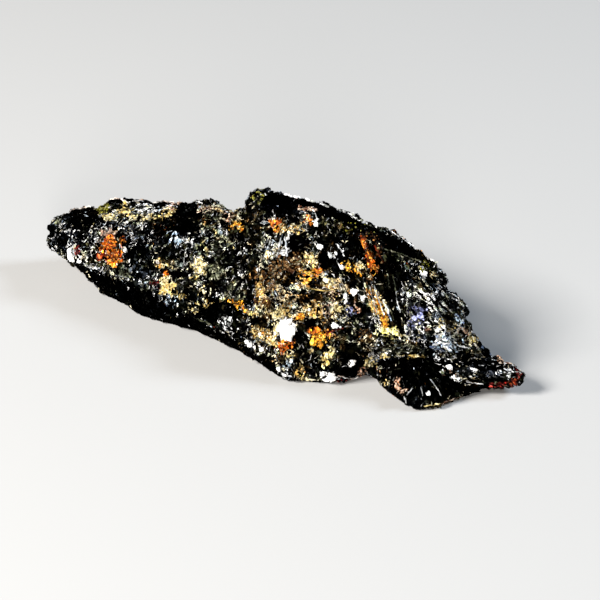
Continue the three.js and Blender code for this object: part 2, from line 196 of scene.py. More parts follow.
# two sizes of smooth noise together, stretched to about 0 to 1
def roughNoise(points, size, seed):
    both = 0.65 * softNoise(points, size, seed) + 0.35 * softNoise(points, size * 0.45, seed + 7)
    return np.clip((both - 0.5) * 1.8 + 0.5, 0, 1)


# the nearest of a scatter of points, one to each cube of the given size
def shatter(points, size, seed):
    cell = np.floor(points / size)
    nearest = np.full(len(points), 1e9)
    middle = np.zeros_like(points)
    owner = np.zeros_like(points)
    for shift in itertools.product((-1, 0, 1), repeat=3):
        near = cell + np.array(shift)
        jitter = np.stack([cellNumber(near, seed + k) for k in range(3)], axis=1)
        centre = (near + jitter) * size
        away = np.linalg.norm(points - centre, axis=1)
        closer = away < nearest
        nearest[closer] = away[closer]
        middle[closer] = centre[closer]
        owner[closer] = near[closer]
    return middle, owner


def unit(vectors):
    return vectors / np.maximum(np.linalg.norm(vectors, axis=1, keepdims=True), 1e-12)


def randomDirections(rng, count):
    return unit(rng.normal(size=(count, 3)))


# Finishes of the ore. Each has colours to draw from, how metallic and how rough they are, how far
# the brightness of one flake strays from the next, and onFaces: the share of the flat faces there
# that take it, where that isn't all of them.
finishes = {
    "black": {
        "colours": [(0.004, 0.004, 0.005)],
        "metal": 1.0, "rough": 0.3, "stray": 0.6,
    },
    "greyOlive": {
        "colours": [(0.132, 0.139, 0.0924), (0.066, 0.0726, 0.0462), (0.211, 0.211, 0.158)],
        "onFaces": 0.8, "metal": 0.3, "rough": 0.5, "stray": 0.5,
    },
    # silver: near white and hardly metallic, painted glints of the steel-grey flakes
    "silver": {
        "colours": [(0.807, 0.816, 0.825), (0.722, 0.739, 0.748), (0.468, 0.484, 0.468)],
        "onFaces": 0.4, "metal": 0.1, "rough": 0.3, "stray": 0.3,
    },
    "blueGlint": {
        "colours": [(0.4, 0.49, 0.57), (0.54, 0.63, 0.69), (0.7, 0.76, 0.79), (0.16, 0.19, 0.26)],
        "onFaces": 0.8, "metal": 0.15, "rough": 0.3, "stray": 0.4,
    },
    "violet": {
        "colours": [(0.075, 0.08, 0.14), (0.19, 0.2, 0.3), (0.03, 0.03, 0.046)],
        "onFaces": 0.85, "metal": 0.2, "rough": 0.3, "stray": 0.5,
    },
    "rust": {
        "colours": [(0.54, 0.19, 0.03), (0.66, 0.29, 0.05), (0.36, 0.1, 0.02),
                    (0.16, 0.036, 0.01), (0.6, 0.24, 0.04)],
        "onFaces": 0.95, "metal": 0.0, "rough": 0.7, "stray": 0.5,
    },
    "deepRust": {
        "colours": [(0.231, 0.0462, 0.0132), (0.132, 0.0198, 0.0099), (0.33, 0.0924, 0.0264)],
        "metal": 0.0, "rough": 0.7, "stray": 0.5,
    },
    "darkRed": {
        "colours": [(0.12, 0.006, 0.006), (0.07, 0.006, 0.006), (0.18, 0.026, 0.018)],
        "metal": 0.0, "rough": 0.6, "stray": 0.5,
    },
    "amber": {
        "colours": [(0.561, 0.317, 0.0396), (0.495, 0.224, 0.0264), (0.594, 0.409, 0.106)],
        "onFaces": 0.85, "metal": 0.0, "rough": 0.6, "stray": 0.4,
    },
    "ochre": {
        "colours": [(0.42, 0.31, 0.12), (0.55, 0.46, 0.26), (0.47, 0.27, 0.08),
                    (0.2, 0.14, 0.05), (0.66, 0.6, 0.43)],
        "onFaces": 0.75, "metal": 0.0, "rough": 0.7, "stray": 0.5,
    },
    "pinkClay": {
        "colours": [(0.42, 0.29, 0.21), (0.28, 0.17, 0.12), (0.55, 0.45, 0.36)],
        "onFaces": 0.6, "metal": 0.0, "rough": 0.7, "stray": 0.4,
    },
    "greyClay": {
        "colours": [(0.36, 0.25, 0.19), (0.26, 0.18, 0.14), (0.42, 0.34, 0.27)],
        "onFaces": 0.95, "metal": 0.0, "rough": 0.7, "stray": 0.25,
    },
    "straw": {
        "colours": [(0.5, 0.41, 0.19), (0.4, 0.3, 0.12), (0.57, 0.51, 0.33)],
        "onFaces": 0.95, "metal": 0.0, "rough": 0.6, "stray": 0.35,
    },
    "cream": {
        "colours": [(0.57, 0.5, 0.3), (0.6, 0.56, 0.42), (0.46, 0.39, 0.2)],
        "onFaces": 0.97, "metal": 0.0, "rough": 0.6, "stray": 0.3,
    },
    "lemon": {
        "colours": [(0.71, 0.66, 0.3), (0.65, 0.59, 0.22), (0.74, 0.72, 0.52)],
        "metal": 0.0, "rough": 0.6, "stray": 0.3,
    },
    "moss": {
        "colours": [(0.198, 0.191, 0.0264), (0.277, 0.264, 0.0792), (0.132, 0.125, 0.0198)],
        "onFaces": 0.7, "metal": 0.0, "rough": 0.6, "stray": 0.4,
    },
    "brown": {
        "colours": [(0.145, 0.0792, 0.0264), (0.0858, 0.0462, 0.0198), (0.198, 0.119, 0.0528)],
        "onFaces": 0.6, "metal": 0.1, "rough": 0.6, "stray": 0.5,
    },
    "rimWhite": {
        "colours": [(0.765, 0.697, 0.646), (0.68, 0.578, 0.51), (0.807, 0.79, 0.765)],
        "metal": 0.0, "rough": 0.5, "stray": 0.2,
    },
    "white": {
        "colours": [(0.93, 0.93, 0.92), (0.97, 0.97, 0.97), (0.85, 0.84, 0.8)],
        "metal": 0.0, "rough": 0.35, "stray": 0.12,
    },
}

# Marks on the near side, each where it is seen in the photograph: middle and half widths in
# pixels, turn in degrees (clockwise), finish, and the share of the ore that it takes there.
marks = [
    # nose lobe
    ("moss crystal", 103, 210, 6, 6, 0, "moss", 0.8),
    ("straw under moss", 107, 217, 7, 4, 0, "cream", 0.75),
    ("straw grains", 126, 210, 8, 5, 10, "straw", 0.55),
    ("pale shelf", 141, 218, 10, 3, 0, "cream", 0.75),
    ("silver shelf", 145, 209, 10, 6, 0, "silver", 0.55),
    ("clay shelf", 165, 212, 9, 4, -20, "straw", 0.6),
    ("pink rim", 174, 205, 7, 3, -25, "pinkClay", 0.6),
    ("grey clay", 110, 234, 8, 5, 0, "greyClay", 0.97),
    ("pale clay top", 118, 229, 4, 3, 0, "straw", 0.4),
    ("orange rust", 109, 247, 8, 8, 10, "rust", 0.97),
    ("bright orange rust", 114, 256, 7, 8, 20, "rust", 0.97),
    ("rust to the left", 101, 256, 5, 5, 0, "deepRust", 0.8),
    ("rust to the right", 121, 242, 3, 6, 0, "rust", 0.6),
    ("crescent", 71, 246, 3, 11, -8, "silver", 0.5),
    ("white crescent", 74, 258, 5, 2.5, 15, "white", 0.7),
    ("red in the crescent", 77, 251, 3, 4, 0, "darkRed", 0.8),
    ("silver streak", 91, 243, 7, 4, 0, "silver", 0.5),
    ("nose olive", 60, 222, 8, 5, 0, "greyOlive", 0.35),
    ("lower edge of the nose", 95, 268, 9, 3, 35, "silver", 0.5),
    ("lower edge grains", 122, 274, 9, 3, 20, "greyOlive", 0.5),
    # shoulder
    ("ochre knob", 161, 262, 5, 4, 30, "ochre", 0.6),
    ("cream by the knob", 169, 266, 5, 2, 35, "cream", 0.5),
    ("rust spot", 166, 274, 3, 3, 0, "rust", 0.7),
    ("straw crust", 168, 287, 7, 7, 0, "straw", 0.98),
    ("straw crust top", 168, 279, 4, 3, 0, "cream", 0.7),
    ("olive left of the crust", 148, 286, 8, 4, 0, "greyOlive", 0.5),
    ("red left of the crust", 156, 285, 4, 4, 0, "darkRed", 0.5),
    ("blue glint", 176, 240, 6, 5, 20, "blueGlint", 0.9),
    ("silver by the glint", 188, 244, 8, 6, 30, "silver", 0.4),
    ("cream crust", 200, 266, 8, 9, -10, "cream", 0.99),
    ("cream below", 195, 277, 4, 2, 0, "straw", 0.7),
    ("grey olive face", 215, 271, 8, 7, 0, "greyOlive", 0.95),
    ("pink top", 205, 208, 8, 4, 0, "pinkClay", 0.35),
    ("ochre top", 216, 218, 8, 3, 10, "greyOlive", 0.5),
    ("pink beside", 227, 218, 5, 5, 0, "pinkClay", 0.5),
    ("amber top", 236, 227, 6, 5, -30, "amber", 0.6),
    ("cream cap", 234, 207, 5, 4, 0, "cream", 0.55),
    ("olive middle", 224, 243, 7, 4, 0, "greyOlive", 0.5),
    ("silver fleck", 243, 250, 4, 5, 0, "silver", 0.6),
    ("cream spots", 183, 297, 4, 4, 0, "straw", 0.6),
    ("cream spot low", 202, 303, 6, 3, 0, "straw", 0.6),
    ("cream streak", 203, 293, 3, 6, 0, "cream", 0.6),
    ("pale spot low", 194, 310, 5, 3, 0, "cream", 0.6),
    ("steel low", 175, 303, 8, 4, 0, "blueGlint", 0.3),
    ("olive low", 232, 292, 9, 7, 0, "greyOlive", 0.5),
    ("pale green knob", 228, 323, 5, 6, 0, "silver", 0.8),
    ("amber line", 240, 306, 9, 3, 30, "amber", 0.7),
    ("amber line end", 252, 313, 6, 3, 10, "straw", 0.6),
    ("blue grey", 255, 303, 3, 4, 0, "blueGlint", 0.5),
    # humped middle
    ("olive crest", 259, 195, 5, 5, 0, "moss", 0.25),
    ("orange crest", 274, 224, 5, 6, 25, "rust", 0.95),
    ("amber crest", 276, 229, 3, 3, 0, "amber", 0.6),
    ("ochre crest", 293, 229, 10, 4, 10, "ochre", 0.65),
    ("pink crest line", 306, 209, 7, 2, 5, "pinkClay", 0.7),
    ("brown crest", 309, 220, 4, 6, -20, "rust", 0.5),
    ("white crest", 317, 224, 3, 5, 0, "white", 0.6),
    ("white blades", 285, 246, 4, 10, 5, "silver", 0.6),
    ("grey blades", 271, 245, 6, 11, 10, "silver", 0.4),
    ("white knob", 320, 247, 3, 2.5, 0, "white", 0.9),
    ("white hook", 341, 250, 3, 5, -30, "silver", 0.5),
    ("grey leaf", 333, 255, 4, 7, -40, "silver", 0.5),
    ("white speck", 343, 268, 2, 1.5, 0, "white", 0.7),
    ("straw crown", 310, 260, 8, 5, 0, "cream", 0.7),
    ("amber crown", 312, 275, 8, 8, 0, "amber", 0.7),
    ("rust crown", 318, 274, 3, 7, 0, "rust", 0.7),
    ("clay crown", 327, 283, 7, 5, 10, "cream", 0.7),
    ("brown field", 282, 265, 16, 8, -20, "brown", 0.6),
    ("brown left field", 264, 286, 9, 16, 10, "brown", 0.6),
    ("amber left field", 261, 289, 3, 9, 0, "ochre", 0.7),
    ("straw lower field", 285, 312, 7, 4, 0, "straw", 0.7),
    ("ochre lower field", 288, 304, 6, 9, 10, "ochre", 0.7),
    ("straw right field", 314, 311, 8, 7, -10, "ochre", 0.85),
    ("amber in the field", 300, 317, 4, 3, 0, "amber", 0.8),
    ("clay right field", 334, 305, 6, 11, 0, "pinkClay", 0.6),
    ("cream right field", 337, 307, 5, 9, 0, "cream", 0.8),
    ("white low", 335, 326, 4, 3.5, 0, "white", 0.8),
    ("rust low", 315, 332, 5, 4, 30, "rust", 0.85),
    ("rust low right", 328, 333, 5, 3, -30, "rust", 0.7),
    ("amber low", 320, 341, 7, 7, -20, "amber", 0.95),
    ("clay low", 333, 332, 3, 2, 0, "pinkClay", 0.7),
    ("cream horn", 330, 352, 3.5, 7, 10, "cream", 0.97),
    ("straw horn", 324, 360, 4, 6, 20, "straw", 0.4),
    ("clay low left", 262, 335, 12, 7, 20, "ochre", 0.95),
    ("straw low left", 270, 342, 5, 3, 20, "straw", 0.5),
    ("quartz", 286, 331, 8, 10, 10, "white", 0.97),
    ("cream beside quartz", 275, 325, 3, 8, 0, "cream", 0.8),
    ("white above quartz", 277, 316, 6, 4, 0, "cream", 0.6),
    ("cream left field", 266, 311, 8, 6, 0, "cream", 0.45),
    ("orange under quartz", 286, 346, 7, 6, 0, "rust", 0.97),
    ("white row left", 251, 343, 5, 2, 10, "silver", 0.4),
    ("white row right", 260, 348, 6, 2, 15, "silver", 0.4),
    ("cream under orange", 290, 356, 5, 4, -30, "cream", 0.7),
    ("blue low", 286, 365, 8, 3, -15, "blueGlint", 0.7),
    ("white low left", 285, 374, 7, 3, 25, "silver", 0.5),
    ("olive low edge", 301, 371, 5, 5, 20, "ochre", 0.6),
    ("cream low edge", 305, 379, 7, 1.5, 8, "cream", 0.5),
    ("white block", 329, 377, 7, 4, 0, "white", 0.95),
    ("red low edge", 345, 382, 11, 3, 5, "darkRed", 0.6),
    ("white chip low", 351, 363, 3, 2, -20, "white", 0.6),
    ("straw chip low", 371, 361, 6, 5, 0, "cream", 0.4),
    ("clay chip low", 363, 371, 4, 5, 0, "pinkClay", 0.4),
    # ribs
    ("olive band", 352, 228, 24, 4, 12, "moss", 0.14),
    ("brown band", 372, 236, 12, 4, 20, "brown", 0.4),
    ("amber shoulder", 352, 268, 9, 4, 25, "amber", 0.6),
    ("straw shoulder", 362, 266, 4, 4, 0, "cream", 0.6),
    ("orange vein top", 365, 247, 2.5, 8, -18, "rust", 0.9),
    ("orange vein", 371, 262, 4, 10, -16, "rust", 0.97),
    ("brown vein", 379, 252, 4, 10, -15, "brown", 0.85),
    ("round white", 354, 292, 2.5, 2.5, 0, "white", 0.98),
    ("white beside", 346, 296, 2, 3, 0, "white", 0.5),
    ("white streak", 362, 299, 3, 6, 0, "white", 0.4),
    ("violet spot", 349, 311, 6, 7, 0, "violet", 0.5),
    ("clay spot", 356, 308, 3, 7, -10, "pinkClay", 0.6),
    ("ochre rib", 372, 286, 3, 16, -18, "brown", 0.8),
    ("ochre vein", 378, 305, 4.5, 16, -14, "ochre", 0.75),
    ("orange vein low", 384, 320, 4.5, 10, -15, "amber", 0.75),
    ("white vein", 386, 305, 1.5, 6, -15, "cream", 0.7),
    ("lemon foot of veins", 387, 332, 10, 5, -5, "lemon", 0.95),
    ("white rib line", 394, 280, 1, 8, -8, "silver", 0.3),
    ("white rib line low", 396, 297, 1, 6, -5, "silver", 0.3),
    ("cream rib top", 378, 244, 2, 4, -20, "cream", 0.6),
    ("brown hollow", 366, 333, 6, 6, 20, "brown", 0.5),
    # flank
    ("straw flank top", 405, 258, 9, 4, 10, "greyOlive", 0.4),
    ("olive flank", 424, 266, 4, 4, 0, "moss", 0.6),
    ("white flank chip", 424, 273, 2, 2, 0, "white", 0.5),
    ("clay flank", 434, 275, 4, 4, -20, "ochre", 0.6),
    ("white flank", 411, 286, 3, 6, -30, "silver", 0.35),
    ("white flank left", 405, 303, 4, 2.5, 35, "silver", 0.7),
    ("blue flank", 419, 311, 7, 5, 0, "violet", 0.8),
    ("violet flank", 416, 326, 6, 11, 10, "violet", 0.85),
    ("white flank low", 408, 334, 4, 5, 20, "silver", 0.5),
    ("straw flank low", 400, 335, 6, 4, 0, "cream", 0.4),
    ("clay flank low", 428, 330, 3, 4, 0, "pinkClay", 0.5),
    ("blue right", 440, 331, 7, 4, 15, "silver", 0.7),
    ("violet right", 446, 336, 6, 3, 20, "violet", 0.6),
    ("white right", 444, 344, 12, 8, 0, "blueGlint", 0.97),
    ("white right fold", 444, 342, 12, 3, 0, "silver", 0.5),
    ("grey right", 440, 355, 9, 6, 0, "silver", 0.35),
    ("blue far right", 461, 319, 4, 5, 0, "blueGlint", 0.5),
    ("straw middle right", 443, 322, 4, 4, 0, "cream", 0.4),
    ("straw right", 452, 327, 4, 3, 0, "straw", 0.35),
    ("clay right", 463, 332, 4, 4, 0, "pinkClay", 0.5),
    ("moss right", 472, 341, 5, 4, -20, "straw", 0.55),
    # ledge, foot and tail
    ("clay ledge end", 425, 350, 3, 5, 0, "greyOlive", 0.6),
    ("amber ledge edge", 410, 356, 8, 1.5, -3, "straw", 0.7),
    ("olive ledge", 392, 347, 10, 5, 0, "greyOlive", 0.5),
    ("straw ledge left", 385, 356, 5, 2, 0, "straw", 0.5),
    ("foot straw", 388, 382, 3, 3, 0, "straw", 0.4),
    ("foot red", 397, 383, 4, 4, 30, "pinkClay", 0.6),
    ("foot clay", 403, 391, 4, 3, 0, "pinkClay", 0.6),
    ("tail white", 448, 366, 3, 1.5, 20, "white", 0.5),
    ("tail red grey", 449, 373, 6, 2, 0, "pinkClay", 0.4),
    ("tail line", 455, 378, 5, 1.2, 10, "white", 0.6),
    ("tail silver", 507, 372, 6, 5, 30, "silver", 0.5),
    ("tail silver left", 486, 366, 4, 3, 0, "silver", 0.5),
    ("tail knob", 504, 359, 6, 4, 25, "pinkClay", 0.8),
    ("tail red rim", 519, 372, 2, 7, 0, "darkRed", 0.7),
    ("tail rust", 513, 383, 5, 4, 0, "deepRust", 0.5),
    ("tail dark red", 500, 385, 9, 3, 0, "darkRed", 0.6),
]

# Painted light by place: same shape as above, then the level from 0, painted shade, to 1, silver with
# painted glints.
paintedLightByPlace = [
    ("nose", 66, 228, 26, 22, 0, 0.42),
    ("lobe", 120, 236, 34, 26, 0, 0.52),
    ("left of the notch", 160, 244, 8, 9, 0, 0.55),
    ("shelf of the lobe", 140, 212, 30, 8, 0, 0.55),
    ("nose top dark", 78, 216, 20, 8, 0, 0.2),
    ("crescent glow", 76, 254, 9, 10, 0, 0.6),
    ("lobe shade", 134, 234, 8, 4, 0, 0.42),
    ("lobe low shade", 145, 268, 14, 8, 0, 0.2),
    ("shoulder sparkle", 200, 240, 24, 18, 0, 0.42),
    ("shoulder top", 215, 212, 22, 9, 0, 0.6),
    ("shoulder low", 178, 272, 18, 14, 0, 0.36),
    ("shoulder right", 230, 254, 22, 14, 0, 0.48),
    ("shoulder above", 234, 238, 12, 8, 0, 0.6),
    ("dark shoulder", 234, 276, 26, 14, 0, 0.4),
    ("low left", 190, 304, 18, 8, 0, 0.28),
    ("knob low", 229, 323, 9, 8, 0, 0.5),
    ("lowest left", 240, 336, 14, 8, 30, 0.25),
    ("blades", 276, 245, 20, 16, 0, 0.62),
    ("step wall", 250, 220, 7, 28, 0, 0.25),
    ("crest", 285, 226, 22, 8, 0, 0.5),
    ("under the top plane", 345, 236, 22, 8, 15, 0.22),
    ("rust field", 300, 275, 34, 20, 0, 0.62),
    ("lower field", 292, 308, 30, 14, 0, 0.76),
    ("right field", 337, 303, 12, 20, 0, 0.95),
    ("dark middle", 311, 298, 12, 6, 0, 0.15),
    ("brown hollow", 280, 263, 14, 7, -20, 0.35),
    ("by the ribs", 360, 300, 9, 26, -10, 0.32),
    ("low by the ribs", 366, 335, 12, 14, 0, 0.4),
    ("wires low on the right", 343, 336, 10, 8, 0, 0.6),
    ("flank", 440, 300, 34, 38, 35, 0.6),
    ("flank top", 410, 262, 20, 9, 15, 0.55),
    ("flank shade", 430, 280, 12, 9, 30, 0.35),
    ("flank glow", 450, 339, 17, 12, 0, 0.9),
    ("flank glow left", 409, 290, 7, 14, -10, 0.42),
    ("flank glow low", 408, 330, 9, 12, 0, 0.65),
    ("ledge", 402, 348, 26, 8, 0, 0.62),
    ("foot left", 392, 384, 10, 8, 0, 0.3),
    ("tail", 480, 366, 34, 12, 10, 0.3),
    ("tail tip", 505, 370, 12, 9, 0, 0.55),
    ("under the top plate", 160, 228, 9, 9, 0, 0.08),
    ("pit in the lobe", 139, 253, 12, 9, 0, 0.04),
    ("notch", 185, 221, 12, 14, 0, 0.0),
    ("notch top", 181, 208, 5, 6, 0, 0.03),
    ("pit left", 246, 300, 10, 6, 0, 0.06),
    ("pit below grey face", 216, 286, 9, 7, 0, 0.1),
    ("pit low", 213, 311, 16, 10, 0, 0.0),
    ("crest pit", 296, 245, 9, 9, 0, 0.02),
    ("rib pit", 325, 261, 8, 11, 0, 0.0),
    ("rib pit right", 338, 262, 6, 7, 0, 0.03),
    ("dark by the ribs", 355, 250, 10, 8, 0, 0.08),
    ("low pit", 312, 323, 8, 7, 0, 0.0),
    ("low dark", 303, 350, 11, 12, 0, 0.3),
    ("low dark middle", 312, 366, 13, 10, 0, 0.18),
    ("low dark right", 350, 355, 12, 10, 0, 0.06),
    ("low dark bottom", 348, 371, 14, 8, 0, 0.04),
    ("dark ribs", 384, 272, 11, 22, -12, 0.15),
    ("dark ribs low", 396, 312, 7, 24, -12, 0.08),
    ("foot", 425, 390, 34, 18, 0, 0.08),
    ("recess", 412, 370, 32, 13, 0, 0.0),
    ("slot", 431, 347, 4, 14, 0, 0.0),
    ("tail underside", 478, 389, 34, 6, 0, 0.0),
    ("notch left arm", 172, 230, 6, 10, 20, 0.0),
    ("notch right arm", 194, 216, 7, 5, -30, 0.03),
    ("foot below the recess", 432, 384, 9, 12, 0, 0.05),
    ("black by the quartz", 300, 335, 4, 7, 10, 0.04),
    ("black left of the quartz", 262, 322, 7, 6, 0, 0.08),
    ("black above the knob", 226, 308, 12, 7, 0, 0.02),
    ("black beside the glint", 167, 253, 4, 6, 0, 0.1),
    ("black under the shelf", 84, 224, 12, 6, 0, 0.1),
    ("black by the vein", 394, 268, 5, 16, -8, 0.0),
    ("black beside the vein", 391, 296, 4, 14, -10, 0.02),
    ("black on the flank", 402, 278, 5, 7, 0, 0.03),
]

# Hue of the wiry lines by place: 0 steel, 0.5 olive, 1 straw and ochre.
warmth = [
    ("nose", 58, 230, 22, 24, 0, 0.08),
    ("lobe", 120, 236, 44, 28, 0, 0.12),
    ("shelf of the lobe", 130, 214, 40, 8, 0, 0.4),
    ("shoulder", 215, 275, 40, 34, 0, 0.42),
    ("top of the shoulder", 220, 213, 26, 8, 0, 0.8),
    ("left blades", 262, 255, 12, 30, 10, 0.6),
    ("middle", 300, 285, 44, 34, 0, 0.85),
    ("crest", 290, 226, 24, 8, 0, 0.7),
    ("under the top plane", 352, 232, 26, 7, 12, 0.5),
    ("ribs", 378, 280, 14, 50, -20, 0.6),
    ("low middle", 300, 350, 50, 22, 0, 0.5),
    ("flank", 440, 300, 34, 36, 35, 0.28),
    ("ledge", 400, 350, 26, 9, 0, 0.6),
    ("tail", 480, 366, 34, 12, 10, 0.1),
]

# Stretches of smooth cleavage with hardly a flake on them: corners in the photograph.
smoothFaces = [
    ("top plane", [
        (262, 193), (300, 197), (330, 206), (366, 224), (400, 241), (430, 262), (418, 262),
        (398, 255), (380, 249), (362, 236), (335, 222), (322, 216), (318, 209), (300, 206),
        (283, 214), (268, 214), (262, 204)
    ]),
]

# Stretches that lie in shade, whatever their marks say: level, and corners in the photograph.
shadedFaces = [
    ("far top of the lobe", 0.04, [
        (46, 222), (52, 210), (62, 207), (96, 204), (103, 196), (113, 194), (128, 199), (150, 196),
        (170, 200), (180, 205), (166, 206), (150, 203), (132, 206), (116, 205), (102, 207),
        (97, 214), (80, 212), (60, 213), (52, 220)
    ]),
    ("under the lobe", 0.02, [
        (48, 257), (70, 263), (84, 266), (98, 273), (122, 280), (136, 283), (150, 295), (165, 306),
        (180, 313), (200, 320), (215, 331), (235, 340), (250, 351), (270, 355), (276, 372),
        (262, 376), (200, 350), (120, 315), (50, 290)
    ]),
    ("under the ledge", 0.03, [
        (380, 361), (400, 359), (428, 359), (432, 340), (436, 345), (434, 362), (445, 372),
        (425, 378), (395, 376), (384, 372)
    ]),
]


def insidePolygon(px, py, corners):
    inside = np.zeros(len(px), bool)
    for (ax, ay), (bx, by) in zip(corners, corners[1:] + corners[:1]):
        crosses = (ay > py) != (by > py)
        with np.errstate(divide="ignore", invalid="ignore"):
            at = ax + (py - ay) * (bx - ax) / (by - ay)
        inside ^= crosses & (px < at)
    return inside


markEdge = {"outer": 1.28, "fade": 0.36, "ragged": 1.1}  # in half widths of the mark


# 1 in the middle of a turned ellipse, 0 well outside it, with a ragged edge
def inMark(px, py, raggedness, x, y, halfX, halfY, turn):
    angle = math.radians(turn)
    across = ((px - x) * math.cos(angle) + (py - y) * math.sin(angle)) / halfX
    down = (-(px - x) * math.sin(angle) + (py - y) * math.cos(angle)) / halfY
    reach = np.sqrt(across ** 2 + down ** 2) + (raggedness - 0.5) * markEdge["ragged"]
    return np.clip((markEdge["outer"] - reach) / markEdge["fade"], 0, 1)


def triangles(mesh):
    mesh.calc_loop_triangles()
    corners = np.empty(len(mesh.loop_triangles) * 3, np.int32)
    mesh.loop_triangles.foreach_get("vertices", corners)
    return corners.reshape(-1, 3)


def vertexPlaces(mesh):
    places = np.empty(len(mesh.vertices) * 3)
    mesh.vertices.foreach_get("co", places)
    return places.reshape(-1, 3)


def vertexNormals(mesh):
    normals = np.empty(len(mesh.vertices) * 3)
    mesh.vertices.foreach_get("normal", normals)
    return normals.reshape(-1, 3)


ore = {
    "voxel": 0.36 * mm,
    "plates": [
        {"size": 3.0 * mm, "lean": 0.22, "most": 0.22 * mm, "seed": 11},
        {"size": 1.3 * mm, "lean": 0.34, "most": 0.2 * mm, "seed": 23},
    ],
    "terrace": {"spacing": 1.15 * mm, "depth": 0.14 * mm, "warp": 1.6 * mm, "seed": 31},
    "steepFrom": 14 * mm,  # the layering stands up from here to the tail
    "steepBlend": 4 * mm,
    "steepNormal": (0.741, 0.596, 0.308),
    "flatNormal": (-0.1, -0.25, 0.96),
    "baseFade": 0.5 * mm,  # the relief grows to its full depth over this height
    "baseStart": 0.4,  # where that begins, as a share of the height above the table
    "leastFacing": -0.05,  # what turns further away from the camera isn't looked at
    "smoothKeeps": 0.2,  # how much of the relief stays on the smooth faces
    "smoothColour": (0.0003, 0.0003, 0.0005),
    "sightLift": 0.1 * mm,  # the camera looks for a corner of the body this far above it
    "looseLift": 0.15 * mm,  # and for a flake, ridge or grain this far above its place
    "sightSlack": 0.5 * mm,
    "seed": 3,
}


def remeshed(source, voxel):
    mesh = source.data.copy()
    soup = bmesh.new()
    soup.from_mesh(mesh)
    bmesh.ops.remove_doubles(soup, verts=soup.verts, dist=1e-6)
    soup.to_mesh(mesh)
    soup.free()
    work = bpy.data.objects.new("remeshing", mesh)
    bpy.context.scene.collection.objects.link(work)
    voxels = work.modifiers.new("voxels", "REMESH")
    voxels.mode = "VOXEL"
    voxels.voxel_size = voxel
    bpy.context.view_layer.update()
    depsgraph = bpy.context.evaluated_depsgraph_get()
    result = bpy.data.meshes.new_from_object(work.evaluated_get(depsgraph))
    bpy.data.objects.remove(work)
    result.materials.clear()
    return result


def layeringNormal(points):
    steep = np.clip((points[:, 0] - ore["steepFrom"]) / ore["steepBlend"] + 0.5, 0, 1)[:, None]
    return unit(steep * np.array(ore["steepNormal"]) + (1 - steep) * np.array(ore["flatNormal"]))


def reliefOf(points):
    height = np.zeros(len(points))
    for layer in ore["plates"]:
        middle, owner = shatter(points, layer["size"], layer["seed"])
        lean = np.stack([cellNumber(owner, layer["seed"] + 50 + k) for k in range(3)], axis=1) - 0.5
        slope = np.sum((points - middle) * unit(lean), axis=1) * layer["lean"]
        height += np.clip(slope, -layer["most"], layer["most"])
        height += (cellNumber(owner, layer["seed"] + 60) - 0.5) * layer["most"]
    step = ore["terrace"]
    along = np.sum(points * layeringNormal(points), axis=1)
    along += (softNoise(points, step["warp"] * 3, step["seed"]) - 0.5) * step["warp"]
    phase = along / step["spacing"]
    height += (phase - np.floor(phase) - 0.5) * 2 * step["depth"]
    return height


# Whether the camera of the photograph sees a point, and where
class NearSide:
    def __init__(self, places, corners):
        self.tree = BVHTree.FromPolygons(places.tolist(), corners.tolist())

    def sees(self, points):
        start = Vector(eye)
        seen = np.zeros(len(points), bool)
        for k, point in enumerate(points):
            ray = Vector(point) - start
            length = ray.length
            hit = self.tree.ray_cast(start, ray / length, length)
            seen[k] = hit[0] is None or hit[3] > length - ore["sightSlack"]
        return seen


# How the ore varies where no mark says otherwise: least and spread of a noise, its lump size and seed.
# On the hidden side rust lies in fields: finish, the noise above which it starts, and its share.
variety = {
    "ragged": (1.4 * mm, 5),  # the tatters at the edges of marks: size and seed
    "paintedLight": (0.25, 0.35, 7 * mm, 41),
    "flicker": (0.3, 1.35, 2.3 * mm, 43),  # every level is multiplied by this one
    "warmth": (0.1, 0.7, 9 * mm, 45),
    "fields": [("ochre", 0.55, 0.35), ("rust", 0.66, 0.55), ("straw", 0.72, 0.35), ("brown", 0.5, 0.2)],
    "fieldNoise": (9 * mm, 61),
    "grainNoise": (1.8 * mm, 71),
    "fieldWeight": 0.6,
    "shadeRagged": 5,  # pixels
}
finishNames = list(finishes)


def varied(points, look):
    least, spread, size, seed = look
    return least + spread * roughNoise(points, size, seed)


# values drawn towards those of a table, by how far each point lies in its ellipses
def blended(values, table, px, py, ragged, seen):
    for name, x, y, halfX, halfY, turn, there in table:
        values = values + (there - values) * inMark(px, py, ragged, x, y, halfX, halfY, turn) * seen
    return values


# what the ore is like at each point: finish by number, painted light level and smoothness
def oreAt(points, seen, rng):
    px, py = toPixels(points)
    ragged = roughNoise(points, *variety["ragged"])
    plain = len(finishNames)  # no finish of its own
    finish = np.full(len(points), plain)
    # painted light: painted glints where the ore sparkles, painted shade in its pits and undercuts
    paintedLight = blended(varied(points, variety["paintedLight"]), paintedLightByPlace, px, py, ragged, seen)
    for name, there, corners in shadedFaces:
        share = insidePolygon(px, py + (ragged - 0.5) * variety["shadeRagged"], corners) * seen
        paintedLight = paintedLight + (there - paintedLight) * share
    paintedLight = paintedLight * varied(points, variety["flicker"])
    for name, x, y, halfX, halfY, turn, finishName, most in marks:
        share = inMark(px, py, ragged, x, y, halfX, halfY, turn) * seen * most
        finish[rng.random(len(points)) < share] = finishNames.index(finishName)
    weight = variety["fieldWeight"]
    field = roughNoise(points, *variety["fieldNoise"]) * weight
    field += roughNoise(points, *variety["grainNoise"]) * (1 - weight)
    for finishName, above, share in variety["fields"]:
        spot = ~seen & (field > above) & (rng.random(len(points)) < share)
        finish[spot] = finishNames.index(finishName)
    smooth = np.zeros(len(points))
    for name, corners in smoothFaces:
        smooth = np.maximum(smooth, insidePolygon(px, py, corners) & seen)
    return finish, paintedLight, smooth


